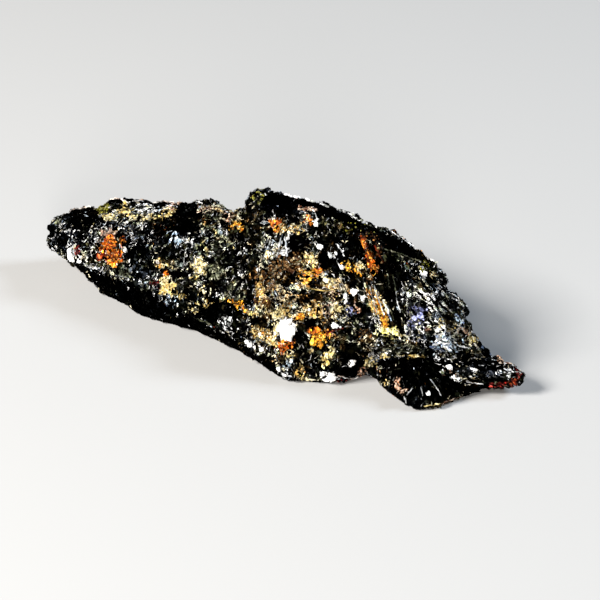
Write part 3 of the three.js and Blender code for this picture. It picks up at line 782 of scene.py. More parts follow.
plainOre = {
    "darkest": 0.0001,
    "faceShare": 0.05,  # how much of the brightness level goes to the faces of the flakes
    "faceTone": 0.9,  # tone of the brightest face
    "faceRarity": (12, 9),  # the higher the rarer: power of the draw in the dark, and its fall with level
    "faceRough": (0.14, 0.34),
    "rimShare": 0.07,  # chance of a lit rim at full brightness
    "rimTone": (0.25, 0.95),  # lit rims
    "rimMetal": 0.25,
    "rimRough": (0.25, 0.45),
    "dimRim": 0.02,  # tone of the brightest unlit rim
    "warm": (1.0, 0.93, 0.72),
    "warmShare": 0.35,
    "cold": (0.82, 0.92, 1.0),
    "coldShare": 0.2,
}


# colour, metalness and roughness of flake faces; plain ore is black with a few silvery ones, painted
# glints that grow with the painted light level
def faceFinish(finish, paintedLight, rng, taking=1.0):
    count = len(finish)
    paintedLight = np.clip(paintedLight, 0, 1) * plainOre["faceShare"]
    power, fall = plainOre["faceRarity"]
    most = plainOre["faceTone"] * np.clip(paintedLight * 4, 0, 1)
    tone = plainOre["darkest"] + most * rng.random(count) ** (power - fall * paintedLight)
    colour = tone[:, None] * oreCast(count, rng)
    onFaces = np.array([finishes[name].get("onFaces", 1.0) for name in finishNames] + [0.0])
    finish = np.where(rng.random(count) < onFaces[finish] * taking, finish, len(finishNames))
    rough = rng.uniform(*plainOre["faceRough"], count)
    return paletteOver(colour, np.full(count, 1.0), rough, finish, rng)


# the same for the rims, where plate after plate catches the light as a thin bright line
def rimFinish(finish, paintedLight, rng, taking=1.0):
    count = len(finish)
    finish = np.where(rng.random(count) < taking, finish, len(finishNames))
    lit = rng.random(count) < np.clip(paintedLight, 0, 1) * plainOre["rimShare"]
    bright = rng.uniform(*plainOre["rimTone"], count)
    dim = plainOre["darkest"] + plainOre["dimRim"] * rng.random(count) ** 3
    colour = np.where(lit, bright, dim)[:, None] * oreCast(count, rng)
    metal = np.where(lit, plainOre["rimMetal"], 1.0)
    rough = rng.uniform(*plainOre["rimRough"], count)
    return paletteOver(colour, metal, rough, finish, rng)


# a warm or a cold cast for some of the flakes
def oreCast(count, rng):
    cast = rng.random(count)[:, None]
    casts = np.where(cast < plainOre["warmShare"], np.array(plainOre["warm"]), 1.0)
    return np.where(cast > 1 - plainOre["coldShare"], np.array(plainOre["cold"]), casts)


paintLimits = {"shades": (0.001, 0.98), "roughStray": 0.05, "rough": (0.12, 0.95)}


# the finishes' own colours over plain ore, wherever there is one
def paletteOver(colour, metal, rough, finish, rng):
    for number, name in enumerate(finishNames):
        here = np.flatnonzero(finish == number)
        if not len(here):
            continue
        look = finishes[name]
        palette = np.array(look["colours"])
        chosen = palette[rng.integers(0, len(palette), len(here))]
        shade = np.exp(rng.normal(0, look["stray"], len(here)))[:, None]
        stray = rng.normal(0, paintLimits["roughStray"], len(here))
        colour[here] = np.clip(chosen * shade, *paintLimits["shades"])
        metal[here] = look["metal"]
        rough[here] = np.clip(look["rough"] + stray, *paintLimits["rough"])
    return colour, metal, rough


def setColours(mesh, name, values, where="POINT"):
    layer = mesh.attributes.new(name, "FLOAT_COLOR", where)
    full = np.ones((len(values), 4))
    full[:, :values.shape[1]] = values
    layer.data.foreach_set("color", full.ravel())


# red is metalness, green roughness, blue the painted light level for the painted glint lines and alpha
# their warmth
def setFinish(mesh, metal, rough, paintedLight, warm, where="FACE"):
    setColours(mesh, "oreFinish", np.stack([metal, rough, paintedLight, warm], axis=1), where)


madeTriangles = {}


def makePiece(name, mesh, material):
    setLinePlaces(mesh)
    mesh.materials.clear()
    mesh.materials.append(material)
    piece = bpy.data.objects.new(name, mesh)
    bpy.context.scene.collection.objects.link(piece)
    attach(piece, "root")
    madeTriangles[name] = len(mesh.loops) - 2 * len(mesh.polygons)
    print(name, madeTriangles[name], "triangles")
    return piece


def newMaterial(name):
    material = bpy.data.materials.new(name)
    material.use_nodes = True
    nodes = material.node_tree.nodes
    return material, nodes, material.node_tree.links, nodes["Principled BSDF"]


# Wiry bright lines, painted highlights where plate edges catch the light: each set follows the contours of
# a noise, broken into short pieces by another. Scales are lumps to the metre, and the noise ranges are
# where most of a noise lies.
paintedGlintLines = {
    "fine": {"scale": 1900.0, "halfWidth": 0.033, "breaks": 900.0},
    "broad": {"scale": 1000.0, "halfWidth": 0.022, "breaks": 500.0},
    "soft": 0.7,  # share of a line's half width that is at full strength
    "breakAt": (0.76, 0.46),  # how much of a line is missing at no brightness and at full brightness
    "breakFade": 0.04,
    "hues": [
        (0.0, (0.95, 0.96, 0.97)),
        (0.3, (0.92, 0.9, 0.84)),
        (0.5, (0.55, 0.58, 0.38)),
        (0.7, (0.78, 0.71, 0.52)),
        (1.0, (0.64, 0.48, 0.25)),
    ],
    "strayScale": 420.0,  # the hue strays from its place's by this noise
    "stray": 0.35,
}
underTone = {
    "scale": 800.0,
    "range": (0.48, 0.6),
    "hues": [
        (0.0, (0.026, 0.032, 0.044)),
        (0.5, (0.036, 0.041, 0.018)),
        (0.75, (0.1, 0.07, 0.03)),
        (1.0, (0.17, 0.08, 0.02)),
    ],
}
mottling = {"scale": 2100.0, "gamma": (0.8, 2.1)}  # a colour is drawn darker by the gamma
noiseRange = (0.35, 0.65)
oreSheen = (0.1, 0.1, 0.1)
oreBump = {
    "scale": 420.0,
    "stretch": (1.0, 7.0, 1.0),
    "turn": (0.35, 0.9, 0.4),
    "strength": 0.35,
    "depth": 0.08 * mm,
}


def mathNode(nodes, links, operation, first, second):
    node = nodes.new("ShaderNodeMath")
    node.operation = operation
    for socket, value in zip(node.inputs, (first, second)):
        if isinstance(value, (int, float)):
            socket.default_value = value
        else:
            links.new(value, socket)
    return node.outputs["Value"]


def rangeNode(nodes, links, value, fromMin, fromMax, toMin, toMax):
    node = nodes.new("ShaderNodeMapRange")
    limits = {"From Min": fromMin, "From Max": fromMax, "To Min": toMin, "To Max": toMax}
    for name, number in limits.items():
        node.inputs[name].default_value = number
    links.new(value, node.inputs["Value"])
    return node.outputs["Result"]


def noiseNode(nodes, links, vector, scale, detail, distortion=0.0):
    node = nodes.new("ShaderNodeTexNoise")
    node.inputs["Scale"].default_value = scale
    node.inputs["Detail"].default_value = detail
    node.inputs["Distortion"].default_value = distortion
    links.new(vector, node.inputs["Vector"])
    return node.outputs["Fac"]


def stretchNode(nodes, links, vector, turn, stretch):
    node = nodes.new("ShaderNodeMapping")
    node.inputs["Rotation"].default_value = turn
    node.inputs["Scale"].default_value = stretch
    links.new(vector, node.inputs["Vector"])
    return node.outputs["Vector"]


# how strongly a painted glint line lies at each place, and the noise that breaks it
def paintedGlintLineNodes(nodes, links, place, look):
    noise = noiseNode(nodes, links, place, look["scale"], 2.0, 0.6)
    away = mathNode(nodes, links, "ABSOLUTE", mathNode(nodes, links, "SUBTRACT", noise, 0.5), 0.0)
    half = look["halfWidth"]
    line = rangeNode(nodes, links, away, half * paintedGlintLines["soft"], half, 1.0, 0.0)
    return line, noiseNode(nodes, links, place, look["breaks"], 1.0)


def mixNode(nodes, links, share, first, second):
    node = nodes.new("ShaderNodeMix")
    node.data_type = "RGBA"
    links.new(share, node.inputs["Factor"])
    for name, value in (("A", first), ("B", second)):
        if isinstance(value, tuple):
            node.inputs[name].default_value = (*value, 1.0)
        else:
            links.new(value, node.inputs[name])
    return node.outputs["Result"]


def rampNode(nodes, links, value, stops):
    node = nodes.new("ShaderNodeValToRGB")
    ramp = node.color_ramp
    while len(ramp.elements) < len(stops):
        ramp.elements.new(0.5)
    for element, (position, colour) in zip(ramp.elements, stops):
        element.position = position
        element.color = (*colour, 1.0)
    links.new(value, node.inputs["Fac"])
    return node.outputs["Color"]


def attributeNode(nodes, name):
    node = nodes.new("ShaderNodeAttribute")
    node.attribute_name = name
    return node


def oreMaterial(name, bumpy):
    material, nodes, links, shader = newMaterial(name)
    stain = attributeNode(nodes, "oreColour")
    finish = attributeNode(nodes, "oreFinish")
    runPlace = attributeNode(nodes, "linePlace").outputs["Vector"]
    parts = nodes.new("ShaderNodeSeparateColor")
    links.new(finish.outputs["Color"], parts.inputs["Color"])
    paintedLight = parts.outputs["Blue"]
    place = nodes.new("ShaderNodeTexCoord").outputs["Object"]
    grain = noiseNode(nodes, links, place, mottling["scale"], 3.0)
    mottled = nodes.new("ShaderNodeGamma")
    links.new(stain.outputs["Color"], mottled.inputs["Color"])
    links.new(rangeNode(nodes, links, grain, *noiseRange, *mottling["gamma"]), mottled.inputs["Gamma"])
    # the more painted light there is by place, the more of each painted glint line is left standing
    least = rangeNode(nodes, links, paintedLight, 0.0, 1.0, *paintedGlintLines["breakAt"])
    total = 0.0
    for lineSet in ("fine", "broad"):
        line, broken = paintedGlintLineNodes(nodes, links, runPlace, paintedGlintLines[lineSet])
        above = mathNode(nodes, links, "SUBTRACT", broken, least)
        left = rangeNode(nodes, links, above, 0.0, paintedGlintLines["breakFade"], 0.0, 1.0)
        total = mathNode(nodes, links, "MAXIMUM", mathNode(nodes, links, "MULTIPLY", line, left), total)
    # a dim undertone beside them, of the same hue, as strong as the painted light level there
    hueNoise = noiseNode(nodes, links, place, paintedGlintLines["strayScale"], 2.0)
    stray = rangeNode(nodes, links, hueNoise, *noiseRange, -paintedGlintLines["stray"], paintedGlintLines["stray"])
    hue = mathNode(nodes, links, "ADD", finish.outputs["Alpha"], stray)
    underNoise = noiseNode(nodes, links, runPlace, underTone["scale"], 2.0)
    dim = rangeNode(nodes, links, underNoise, *underTone["range"], 0.0, 1.0)
    dim = mathNode(nodes, links, "MULTIPLY", dim, paintedLight)
    underColour = rampNode(nodes, links, hue, underTone["hues"])
    toned = mixNode(nodes, links, dim, mottled.outputs["Color"], underColour)
    mixed = mixNode(nodes, links, total, toned, rampNode(nodes, links, hue, paintedGlintLines["hues"]))
    links.new(mixed, shader.inputs["Base Color"])
    bare = mathNode(nodes, links, "SUBTRACT", 1.0, total)
    metal = mathNode(nodes, links, "MULTIPLY", parts.outputs["Red"], bare)
    links.new(metal, shader.inputs["Metallic"])
    links.new(parts.outputs["Green"], shader.inputs["Roughness"])
    shader.inputs["Specular Tint"].default_value = (*oreSheen, 1.0)
    if bumpy:
        along = stretchNode(nodes, links, place, oreBump["turn"], oreBump["stretch"])
        stripes = noiseNode(nodes, links, along, oreBump["scale"], 4.0)
        bump = nodes.new("ShaderNodeBump")
        bump.inputs["Strength"].default_value = oreBump["strength"]
        bump.inputs["Distance"].default_value = oreBump["depth"]
        links.new(stripes, bump.inputs["Height"])
        links.new(bump.outputs["Normal"], shader.inputs["Normal"])
    return material


# Which way the long flakes run where the photograph shows it: middle, half widths and turn of an
# ellipse, then the run in degrees clockwise from upright, and how strictly they keep to it.
grainRuns = [
    ("everywhere", 285, 290, 400, 200, 0, 0, 0.35),
    ("blades", 280, 245, 22, 20, 0, 12, 0.8),
    ("middle", 310, 285, 30, 22, 0, -60, 0.5),
    ("ribs", 382, 288, 16, 58, -20, -20, 0.93),
    ("vein", 368, 255, 8, 22, -20, -20, 0.9),
    ("flank", 440, 300, 34, 36, 35, -52, 0.75),
    ("flank folds", 444, 345, 16, 8, 0, -85, 0.75),
    ("ledge", 400, 350, 26, 9, 0, -88, 0.75),
    ("tail", 480, 370, 42, 16, 10, -78, 0.75),
    ("foot left", 405, 390, 16, 20, 0, 32, 0.85),
    ("foot middle", 428, 390, 12, 22, 0, -2, 0.85),
    ("foot right", 448, 388, 14, 18, 0, -35, 0.85),
    ("top shelf of the lobe", 130, 208, 50, 9, 0, -85, 0.6),
]
grainLook = {
    "pull": 0.7,  # how far the lines are drawn together along the run
    "spread": 40,  # degrees that a flake turns from the run where the run isn't kept
    "leastFacing": 0.25,
    "layerStray": 0.5,
}


def warmthAt(points, seen):
    px, py = toPixels(points)
    ragged = roughNoise(points, *variety["ragged"])
    return blended(varied(points, variety["warmth"]), warmth, px, py, ragged, seen)


# Places for the wiry lines, drawn together along the run of the grain so that the lines grow long
def linePlaces(points):
    px, py = toPixels(points)
    moved = points.copy()
    for name, x, y, halfX, halfY, turn, run, keeps in grainRuns[1:]:
        share = inMark(px, py, np.full(len(points), 0.5), x, y, halfX, halfY, turn)
        share *= keeps * grainLook["pull"]
        angle = math.radians(run)
        along = (px - x) * math.sin(angle) - (py - y) * math.cos(angle)
        towards = viewRight * math.sin(angle) + viewUp * math.cos(angle)
        moved -= (share * along * pixelSize)[:, None] * towards
    return moved


def setLinePlaces(mesh):
    layer = mesh.attributes.new("linePlace", "FLOAT_VECTOR", "POINT")
    layer.data.foreach_set("vector", linePlaces(vertexPlaces(mesh)).ravel())


# Where each side of the body lies on its map: axis that it faces, sign, the two axes drawn and the
# box that it fills, in shares of the map.
bodyCharts = [
    ("near", 1, -1, (0, 2), (0.0, 0.0, 1.0, 0.25)),
    ("top", 2, 1, (0, 1), (0.0, 0.26, 1.0, 0.60)),
    ("far", 1, 1, (0, 2), (0.0, 0.61, 1.0, 0.82)),
    ("under", 2, -1, (0, 1), (0.0, 0.83, 0.5, 1.0)),
    ("nose end", 0, -1, (1, 2), (0.51, 0.83, 0.75, 1.0)),
    ("tail end", 0, 1, (1, 2), (0.76, 0.83, 1.0, 1.0)),
]
chartGap = 0.004  # left free inside each box


# Its own map for the body, so that textures drawn from it stay sharp
def setBodyMap(mesh, smoothNormals):
    loopVertex = np.empty(len(mesh.loops), np.int32)
    mesh.loops.foreach_get("vertex_index", loopVertex)
    counts = np.empty(len(mesh.polygons), np.int32)
    mesh.polygons.foreach_get("loop_total", counts)
    face = np.repeat(np.arange(len(counts)), counts)
    facing = np.stack([np.bincount(face, smoothNormals[loopVertex, k]) for k in range(3)], axis=1)
    scores = np.stack([sign * facing[:, axis] for name, axis, sign, drawn, box in bodyCharts], axis=1)
    chosen = scores.argmax(axis=1)[face]
    places = vertexPlaces(mesh)
    least, most = places.min(axis=0), places.max(axis=0)
    share = ((places - least) / (most - least))[loopVertex]
    spots = np.zeros((len(loopVertex), 2))
    for number, (name, axis, sign, drawn, (left, low, right, high)) in enumerate(bodyCharts):
        here = chosen == number
        spots[here, 0] = left + chartGap + (right - left - 2 * chartGap) * share[here, drawn[0]]
        spots[here, 1] = low + chartGap + (high - low - 2 * chartGap) * share[here, drawn[1]]
    layer = mesh.uv_layers.new(name="OFBake")
    layer.data.foreach_set("uv", spots.ravel())


def makeOreBody():
    mesh = remeshed(cadStone, ore["voxel"])
    places = vertexPlaces(mesh)
    normals = vertexNormals(mesh)
    corners = triangles(mesh)
    rng = np.random.default_rng(ore["seed"])
    near = NearSide(places, corners)
    facing = normals @ viewBack > ore["leastFacing"]
    seen = facing.copy()
    seen[facing] = near.sees(places[facing] + normals[facing] * ore["sightLift"])
    finish, paintedLight, smooth = oreAt(places, seen, rng)
    height = reliefOf(places) * (1 - smooth * (1 - ore["smoothKeeps"]))
    height *= np.clip(places[:, 2] / ore["baseFade"] - ore["baseStart"], 0, 1)
    moved = places + normals * height[:, None]
    moved[:, 2] = np.maximum(moved[:, 2], 0)
    mesh.vertices.foreach_set("co", moved.ravel())
    mesh.update()
    colour, metal, rough = faceFinish(finish, paintedLight * (1 - smooth), rng)
    colour = np.where(smooth[:, None] > 0.5, np.array(ore["smoothColour"]), colour)
    setColours(mesh, "oreColour", colour)
    # painted glint lines as strong as the painted light, none on the smooth faces
    paintedGlintLevel = np.clip(paintedLight, 0, 1) * (1 - smooth)
    setFinish(mesh, metal, rough, paintedGlintLevel, warmthAt(places, seen), "POINT")
    setBodyMap(mesh, normals)
    body = makePiece("oreBody", mesh, oreMaterial("hematiteOre", True))
    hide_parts("specular_hematite")
    return body, normals, corners, NearSide(moved, corners)


oreBody, formNormals, formCorners, nearSide = makeOreBody()


# random places spread evenly over the ore: place, direction outwards
def surfacePlaces(count, rng):
    surface = vertexPlaces(oreBody.data)
    first, second, third = (surface[formCorners[:, k]] for k in range(3))
    area = np.linalg.norm(np.cross(second - first, third - first), axis=1)
    chosen = rng.choice(len(formCorners), count, p=area / area.sum())
    a, b = rng.random(count), rng.random(count)
    over = a + b > 1
    a[over], b[over] = 1 - a[over], 1 - b[over]
    weights = np.stack([1 - a - b, a, b], axis=1)[:, :, None]
    at = formCorners[chosen]
    return np.sum(surface[at] * weights, axis=1), unit(np.sum(formNormals[at] * weights, axis=1))


# random places with what the ore is like there
def orePlaces(count, rng):
    centres, outward = surfacePlaces(count, rng)
    seen = nearSide.sees(centres + outward * ore["looseLift"])
    return centres, outward, seen, *oreAt(centres, seen, rng)


# direction of the long flakes at each place: the run seen in the photograph, else along the layers
def grainAlong(points, outward, seen, rng):
    px, py = toPixels(points)
    run = np.zeros(len(points))
    strict = np.zeros(len(points))
    for name, x, y, halfX, halfY, turn, there, keeps in grainRuns:
        share = inMark(px, py, np.full(len(points), 0.5), x, y, halfX, halfY, turn)
        run += (there - run) * share
        strict += (keeps - strict) * share
    run = np.radians(run + rng.normal(0, grainLook["spread"], len(points)) * (1 - strict))
    flat = np.sin(run)[:, None] * viewRight + np.cos(run)[:, None] * viewUp
    towards = np.maximum(outward @ viewBack, grainLook["leastFacing"])
    byPicture = flat - viewBack * (np.sum(flat * outward, axis=1) / towards)[:, None]
    byLayers = np.cross(layeringNormal(points), outward)
    byLayers += grainLook["layerStray"] * randomDirections(rng, len(points))
    return unit(np.where(seen[:, None], byPicture, byLayers))


# Many small pieces alike: places holds the corners of each, and pattern the faces of one. Each has
# its own square of the map, and layout holds the corners of its faces in that square.
def alikeMesh(name, places, pattern, layout):
    count, corners = places.shape[:2]
    places = places.reshape(-1, 3)
    places[:, 2] = np.maximum(places[:, 2], 0)
    faces = []
    for start in range(0, count * corners, corners):
        faces += [[start + k for k in face] for face in pattern]
    mesh = bpy.data.meshes.new(name)
    mesh.from_pydata(places.tolist(), [], faces)
    across = math.ceil(math.sqrt(count))
    number = np.arange(count)
    origin = np.stack([number % across, number // across], axis=1)
    spots = (origin[:, None] + np.array([corner for face in layout for corner in face])) / across
    layer = mesh.uv_layers.new(name="OFBake")
    layer.data.foreach_set("uv", spots.ravel())
    return mesh


# corners round a middle for each piece, at uneven turns and distances
def unevenRing(along, sideways, radii, stretch, sides, stray, rng):
    shape = (len(radii), sides)
    turn = np.arange(sides) + rng.uniform(-stray["turn"], stray["turn"], shape)
    turn = turn * 2 * math.pi / sides
    reach = radii[:, None] * rng.uniform(*stray["reach"], shape)
    x = (np.cos(turn) * reach * stretch[:, None])[..., None] * along[:, None]
    y = (np.sin(turn) * reach / stretch[:, None])[..., None] * sideways[:, None]
    return x + y


# Pieces in the colours of their finishes; own is how much of its colour all faces of a piece share.
def paintPieces(mesh, finish, faceCount, rough, own, rng):
    finish = np.repeat(finish, faceCount)
    colour = np.zeros((len(finish), 3))
    metal = np.zeros(len(finish))
    colour, metal, rough = paletteOver(colour, metal, metal + rough, finish, rng)
    colour = colour.reshape(-1, faceCount, 3)
    colour = (colour[:, :1] * own + colour * (1 - own)).reshape(-1, 3)
    setColours(mesh, "oreColour", colour, "FACE")
    setFinish(mesh, metal, rough, metal * 0, metal * 0 + 1)


def ringSpots(middle, radius, sides):
    turns = [2 * math.pi * k / sides for k in range(sides)]
    return [(middle[0] + radius * math.cos(turn), middle[1] + radius * math.sin(turn)) for turn in turns]


# the flat face in the middle with the rims round it; the hidden underside is small in a corner
def plateLayout(sides):
    face = ringSpots((0.5, 0.5), 0.39, sides)
    edge = ringSpots((0.5, 0.5), 0.49, sides)
    under = ringSpots((0.07, 0.07), 0.06, sides)
    rims = [[face[k], edge[k], edge[(k + 1) % sides], face[(k + 1) % sides]] for k in range(sides)]
    return [face, under[::-1]] + rims


# each face of a ridge in its own small box, row by row
def boxLayout(pattern):
    across = math.ceil(math.sqrt(len(pattern)))
    layout = []
    for number, face in enumerate(pattern):
        left, low = number % across / across, number // across / across
        side = 0.96 / across
        square = [(left, low), (left + side, low), (left + side, low + side), (left, low + side)]
        layout.append(square[:len(face)])
    return layout


# two pyramids, each as a fan of triangles
def fanLayout(sides):
    above = ringSpots((0.36, 0.64), 0.35, sides)
    below = ringSpots((0.82, 0.18), 0.17, sides)
    layout = [[above[k], above[(k + 1) % sides], (0.36, 0.64)] for k in range(sides)]
    return layout + [[below[(k + 1) % sides], below[k], (0.82, 0.18)] for k in range(sides)]


# Sets of flakes, in millimetres. rim is the width of the flat face as a share of the flake's, onEdge
# how far some stand up on edge, and taking the share that takes the finish of its place.
flakeSets = {
    "plateFlakes": {
        "count": 5200, "sides": 6, "radius": 0.66, "spread": 0.35, "stretch": (1.0, 1.6),
        "thick": (0.1, 0.3), "rim": 0.86, "tilt": 0.2, "onEdge": 0.0, "lift": 0.0,
        "taking": 0.55, "seed": 101,
    },
    "scaleFlakes": {
        "count": 9000, "sides": 5, "radius": 0.42, "spread": 0.35, "stretch": (1.0, 2.0),
        "thick": (0.07, 0.18), "rim": 0.82, "tilt": 0.26, "onEdge": 0.0, "lift": 0.04,
        "taking": 0.8, "seed": 102,
    },
    "sparkFlakes": {
        "count": 5000, "sides": 4, "radius": 0.24, "spread": 0.35, "stretch": (1.0, 2.2),
        "thick": (0.06, 0.12), "rim": 0.8, "tilt": 0.4, "onEdge": 0.0, "lift": 0.08,
        "taking": 1.0, "seed": 103,
    },
    "bladeFlakes": {
        "count": 8000, "sides": 4, "radius": 0.27, "spread": 0.3, "stretch": (1.6, 2.5),
        "thick": (0.06, 0.14), "rim": 0.85, "tilt": 0.18, "onEdge": 0.2, "lift": 0.06,
        "taking": 0.9, "seed": 104,
    },
}
flakeBuild = {
    "spare": 1.7,  # places tried for each flake that is wanted
    "lowest": 0.25 * mm,
    "kept": 0.97,  # share of the smooth faces that stays free of flakes
    "largest": 1.4,  # of the set's radius
    "byHeight": (0.8, 0.2 * mm),  # no wider than this share of its height above the table and so much more
}
cornerStray = {"turn": 0.32, "reach": (0.6, 1.15)}  # how uneven a flake's corners are


# Closed plates with a bevelled rim: a ring of corners above and a wider one below.
def plateMesh(name, centres, outward, along, radii, thick, stretch, sides, rim, rng):
    edge = unevenRing(along, np.cross(outward, along), radii, stretch, sides, cornerStray, rng)
    half = (outward * (thick / 2)[:, None])[:, None]
    middle = centres[:, None]
    places = np.concatenate([middle + edge * rim + half, middle + edge - half], axis=1)
    ring = list(range(sides))
    pattern = [ring, [sides + k for k in reversed(ring)]]
    pattern += [[k, sides + k, sides + (k + 1) % sides, (k + 1) % sides] for k in ring]
    return alikeMesh(name, places, pattern, plateLayout(sides))


gloss = oreMaterial("flakeGloss", False)


def makeFlakes(name, look):
    rng = np.random.default_rng(look["seed"])
    tries = int(look["count"] * flakeBuild["spare"])
    centres, outward, seen, finish, paintedLight, smooth = orePlaces(tries, rng)
    stays = rng.random(len(centres)) > smooth * flakeBuild["kept"]
    keep = np.flatnonzero(stays & (centres[:, 2] > flakeBuild["lowest"]))[:look["count"]]
    centres, outward, finish, paintedLight, seen = (x[keep] for x in (centres, outward, finish, paintedLight, seen))
    count = len(keep)
    along = grainAlong(centres, outward, seen, rng)
    onEdge = rng.random(count)[:, None] * look["onEdge"]
    standing = unit(np.cross(along, outward)) * np.where(rng.random(count) < 0.5, -1, 1)[:, None]
    wobble = randomDirections(rng, count) * rng.random(count)[:, None]
    facing = unit(outward * (1 - onEdge) + standing * onEdge + look["tilt"] * wobble)
    along = unit(along - facing * np.sum(along * facing, axis=1)[:, None])
    radii = look["radius"] * mm * np.exp(rng.normal(0, look["spread"], count))
    radii = np.minimum(radii, flakeBuild["largest"] * look["radius"] * mm)
    share, least = flakeBuild["byHeight"]
    radii = np.minimum(radii, share * centres[:, 2] + least)
    thick = rng.uniform(*look["thick"], count) * mm
    stretch = rng.uniform(*look["stretch"], count)
    if look["onEdge"] == 0:
        stretch = stretch ** 0.5
    sides = look["sides"]
    places = centres + outward * look["lift"] * mm
    mesh = plateMesh(name, places, facing, along, radii, thick, stretch, sides, look["rim"], rng)
    # the flat face, the hidden underside, which gets no painted light, and the rims
    faces = [faceFinish(finish, facePaintedLight, rng, look["taking"]) for facePaintedLight in (paintedLight, paintedLight * 0)]
    faces += [rimFinish(finish, paintedLight, rng, look["taking"]) for k in range(sides)]
    colour = np.stack([face[0] for face in faces], axis=1).reshape(-1, 3)
    metal = np.stack([face[1] for face in faces], axis=1).ravel()
    rough = np.stack([face[2] for face in faces], axis=1).ravel()
    setColours(mesh, "oreColour", colour, "FACE")
    # painted glint lines on plain ore only, as strong as the painted light there
    plain = np.where(finish == len(finishNames), np.clip(paintedLight, 0, 1), 0.0)
    paintedGlintLevel = np.repeat(plain, len(faces))
    warm = np.repeat(warmthAt(centres, seen), len(faces))
    setFinish(mesh, metal, rough, paintedGlintLevel, warm)
    makePiece(name, mesh, gloss)


for flakeName, flakeLook in flakeSets.items():
    makeFlakes(flakeName, flakeLook)


litEdges = {
    "tries": 60000,
    "most": 4200,
    "apart": 0.9 * mm,
    "segments": 3,
    "step": 0.42 * mm,
    "width": (0.13 * mm, 0.32 * mm),
    "height": (0.14 * mm, 0.28 * mm),
    "bend": 0.7,  # radians from one segment to the next
    "lowest": 0.4 * mm,
    "stepRange": (0.5, 1.3),
    "lean": 0.7,  # how far a ridge leans with the plate below it
    "tone": (0.2, 0.75),  # least and spread
    "metal": 0.15,
    "rough": (0.25, 0.4),
    "shades": (0.6, 1.1),  # of its single faces
    "seed": 301,
}
ridgeBuild = {"sunk": 0.2 * mm, "taper": (0.12, 0.88), "taperPower": 0.6, "shades": (0.002, 0.97)}


# Edges of cleavage plates that stand out and catch the light: narrow ridges that wind over the ore.
# paths holds each ridge's points, outward its directions away from the ore there.
def ridgeMesh(name, paths, outward, width, height):
    stops = paths.shape[1]
    ahead = np.empty_like(paths)
    ahead[:, 1:-1] = paths[:, 2:] - paths[:, :-2]
    ahead[:, 0] = paths[:, 1] - paths[:, 0]
    ahead[:, -1] = paths[:, -1] - paths[:, -2]
    side = np.cross(ahead, outward)
    side /= np.maximum(np.linalg.norm(side, axis=2, keepdims=True), 1e-12)
    taper = np.sin(np.linspace(*ridgeBuild["taper"], stops) * math.pi) ** ridgeBuild["taperPower"]
    half = (width[:, None] * taper / 2)[..., None]
    tall = (height[:, None] * taper)[..., None]
    foot = paths - outward * ridgeBuild["sunk"]
    corners = np.stack([foot - side * half, paths + outward * tall, foot + side * half], axis=2)
    places = corners.reshape(len(paths), -1, 3)
    pattern = [[0, 2, 1]]
    for k in range(stops - 1):
        low, high = 3 * k, 3 * k + 3
        pattern += [[low + j, low + (j + 1) % 3, high + (j + 1) % 3, high + j] for j in range(3)]
    pattern += [[3 * stops - 3, 3 * stops - 2, 3 * stops - 1]]
    return alikeMesh(name, places, pattern, boxLayout(pattern)), len(pattern)


# each ridge in its own colour, its faces a little lighter and darker
def colourRidges(mesh, faceCount, colour, metal, rough, shades, rng):
    colour = np.repeat(colour, faceCount, axis=0)
    colour = colour * rng.uniform(*shades, (len(colour), 1))
    setColours(mesh, "oreColour", np.clip(colour, *ridgeBuild["shades"]), "FACE")
    metal = np.repeat(metal, faceCount)
    setFinish(mesh, metal, np.repeat(rough, faceCount), metal * 0, metal * 0 + 1)


def makeLitEdges(look):
    rng = np.random.default_rng(look["seed"])
    centres, outward, seen, finish, paintedLight, smooth = orePlaces(look["tries"], rng)
    cells = np.floor(centres / look["apart"])
    first = np.unique(cells, axis=0, return_index=True)[1]
    own = np.zeros(len(centres), bool)
    own[first] = True
    stays = own & (centres[:, 2] > look["lowest"]) & (rng.random(len(centres)) < paintedLight * (1 - smooth))
    keep = rng.permutation(np.flatnonzero(stays))[:look["most"]]
    centres, outward, finish, paintedLight, seen = (x[keep] for x in (centres, outward, finish, paintedLight, seen))
    count = len(keep)
    along = grainAlong(centres, outward, seen, rng)
    paths = np.empty((count, look["segments"] + 1, 3))
    normals = np.empty_like(paths)
    bend = rng.normal(0, look["bend"], (count, look["segments"]))
    step = look["step"] * rng.uniform(*look["stepRange"], count)
    for k in range(count):
        here = Vector(centres[k])
        ahead = Vector(along[k])
        for stop in range(look["segments"] + 1):
            here, normal, face, away = nearSide.tree.find_nearest(here)
            paths[k, stop] = here
            normals[k, stop] = normal
            if stop == look["segments"]:
                break
            ahead = ahead + normal.cross(ahead) * bend[k, stop]
            ahead = (ahead - normal * ahead.dot(normal)).normalized()
            here = here + ahead * step[k]
    smoothed = outward[:, None] + normals * look["lean"]
    smoothed /= np.linalg.norm(smoothed, axis=2, keepdims=True)
    least, most = look["width"]
    width = least + (most - least) * rng.random(count) ** 2
    height = rng.uniform(*look["height"], count)
    mesh, faceCount = ridgeMesh("litEdges", paths, smoothed, width, height)
    dimmest, spread = look["tone"]
    tone = dimmest + spread * rng.random(count) ** 0.6
    colour = tone[:, None] * oreCast(count, rng)
    rough = rng.uniform(*look["rough"], count)
    colour, metal, rough = paletteOver(colour, np.full(count, look["metal"]), rough, finish, rng)
    colourRidges(mesh, faceCount, colour, metal, rough, look["shades"], rng)
    makePiece("litEdges", mesh, gloss)


makeLitEdges(litEdges)
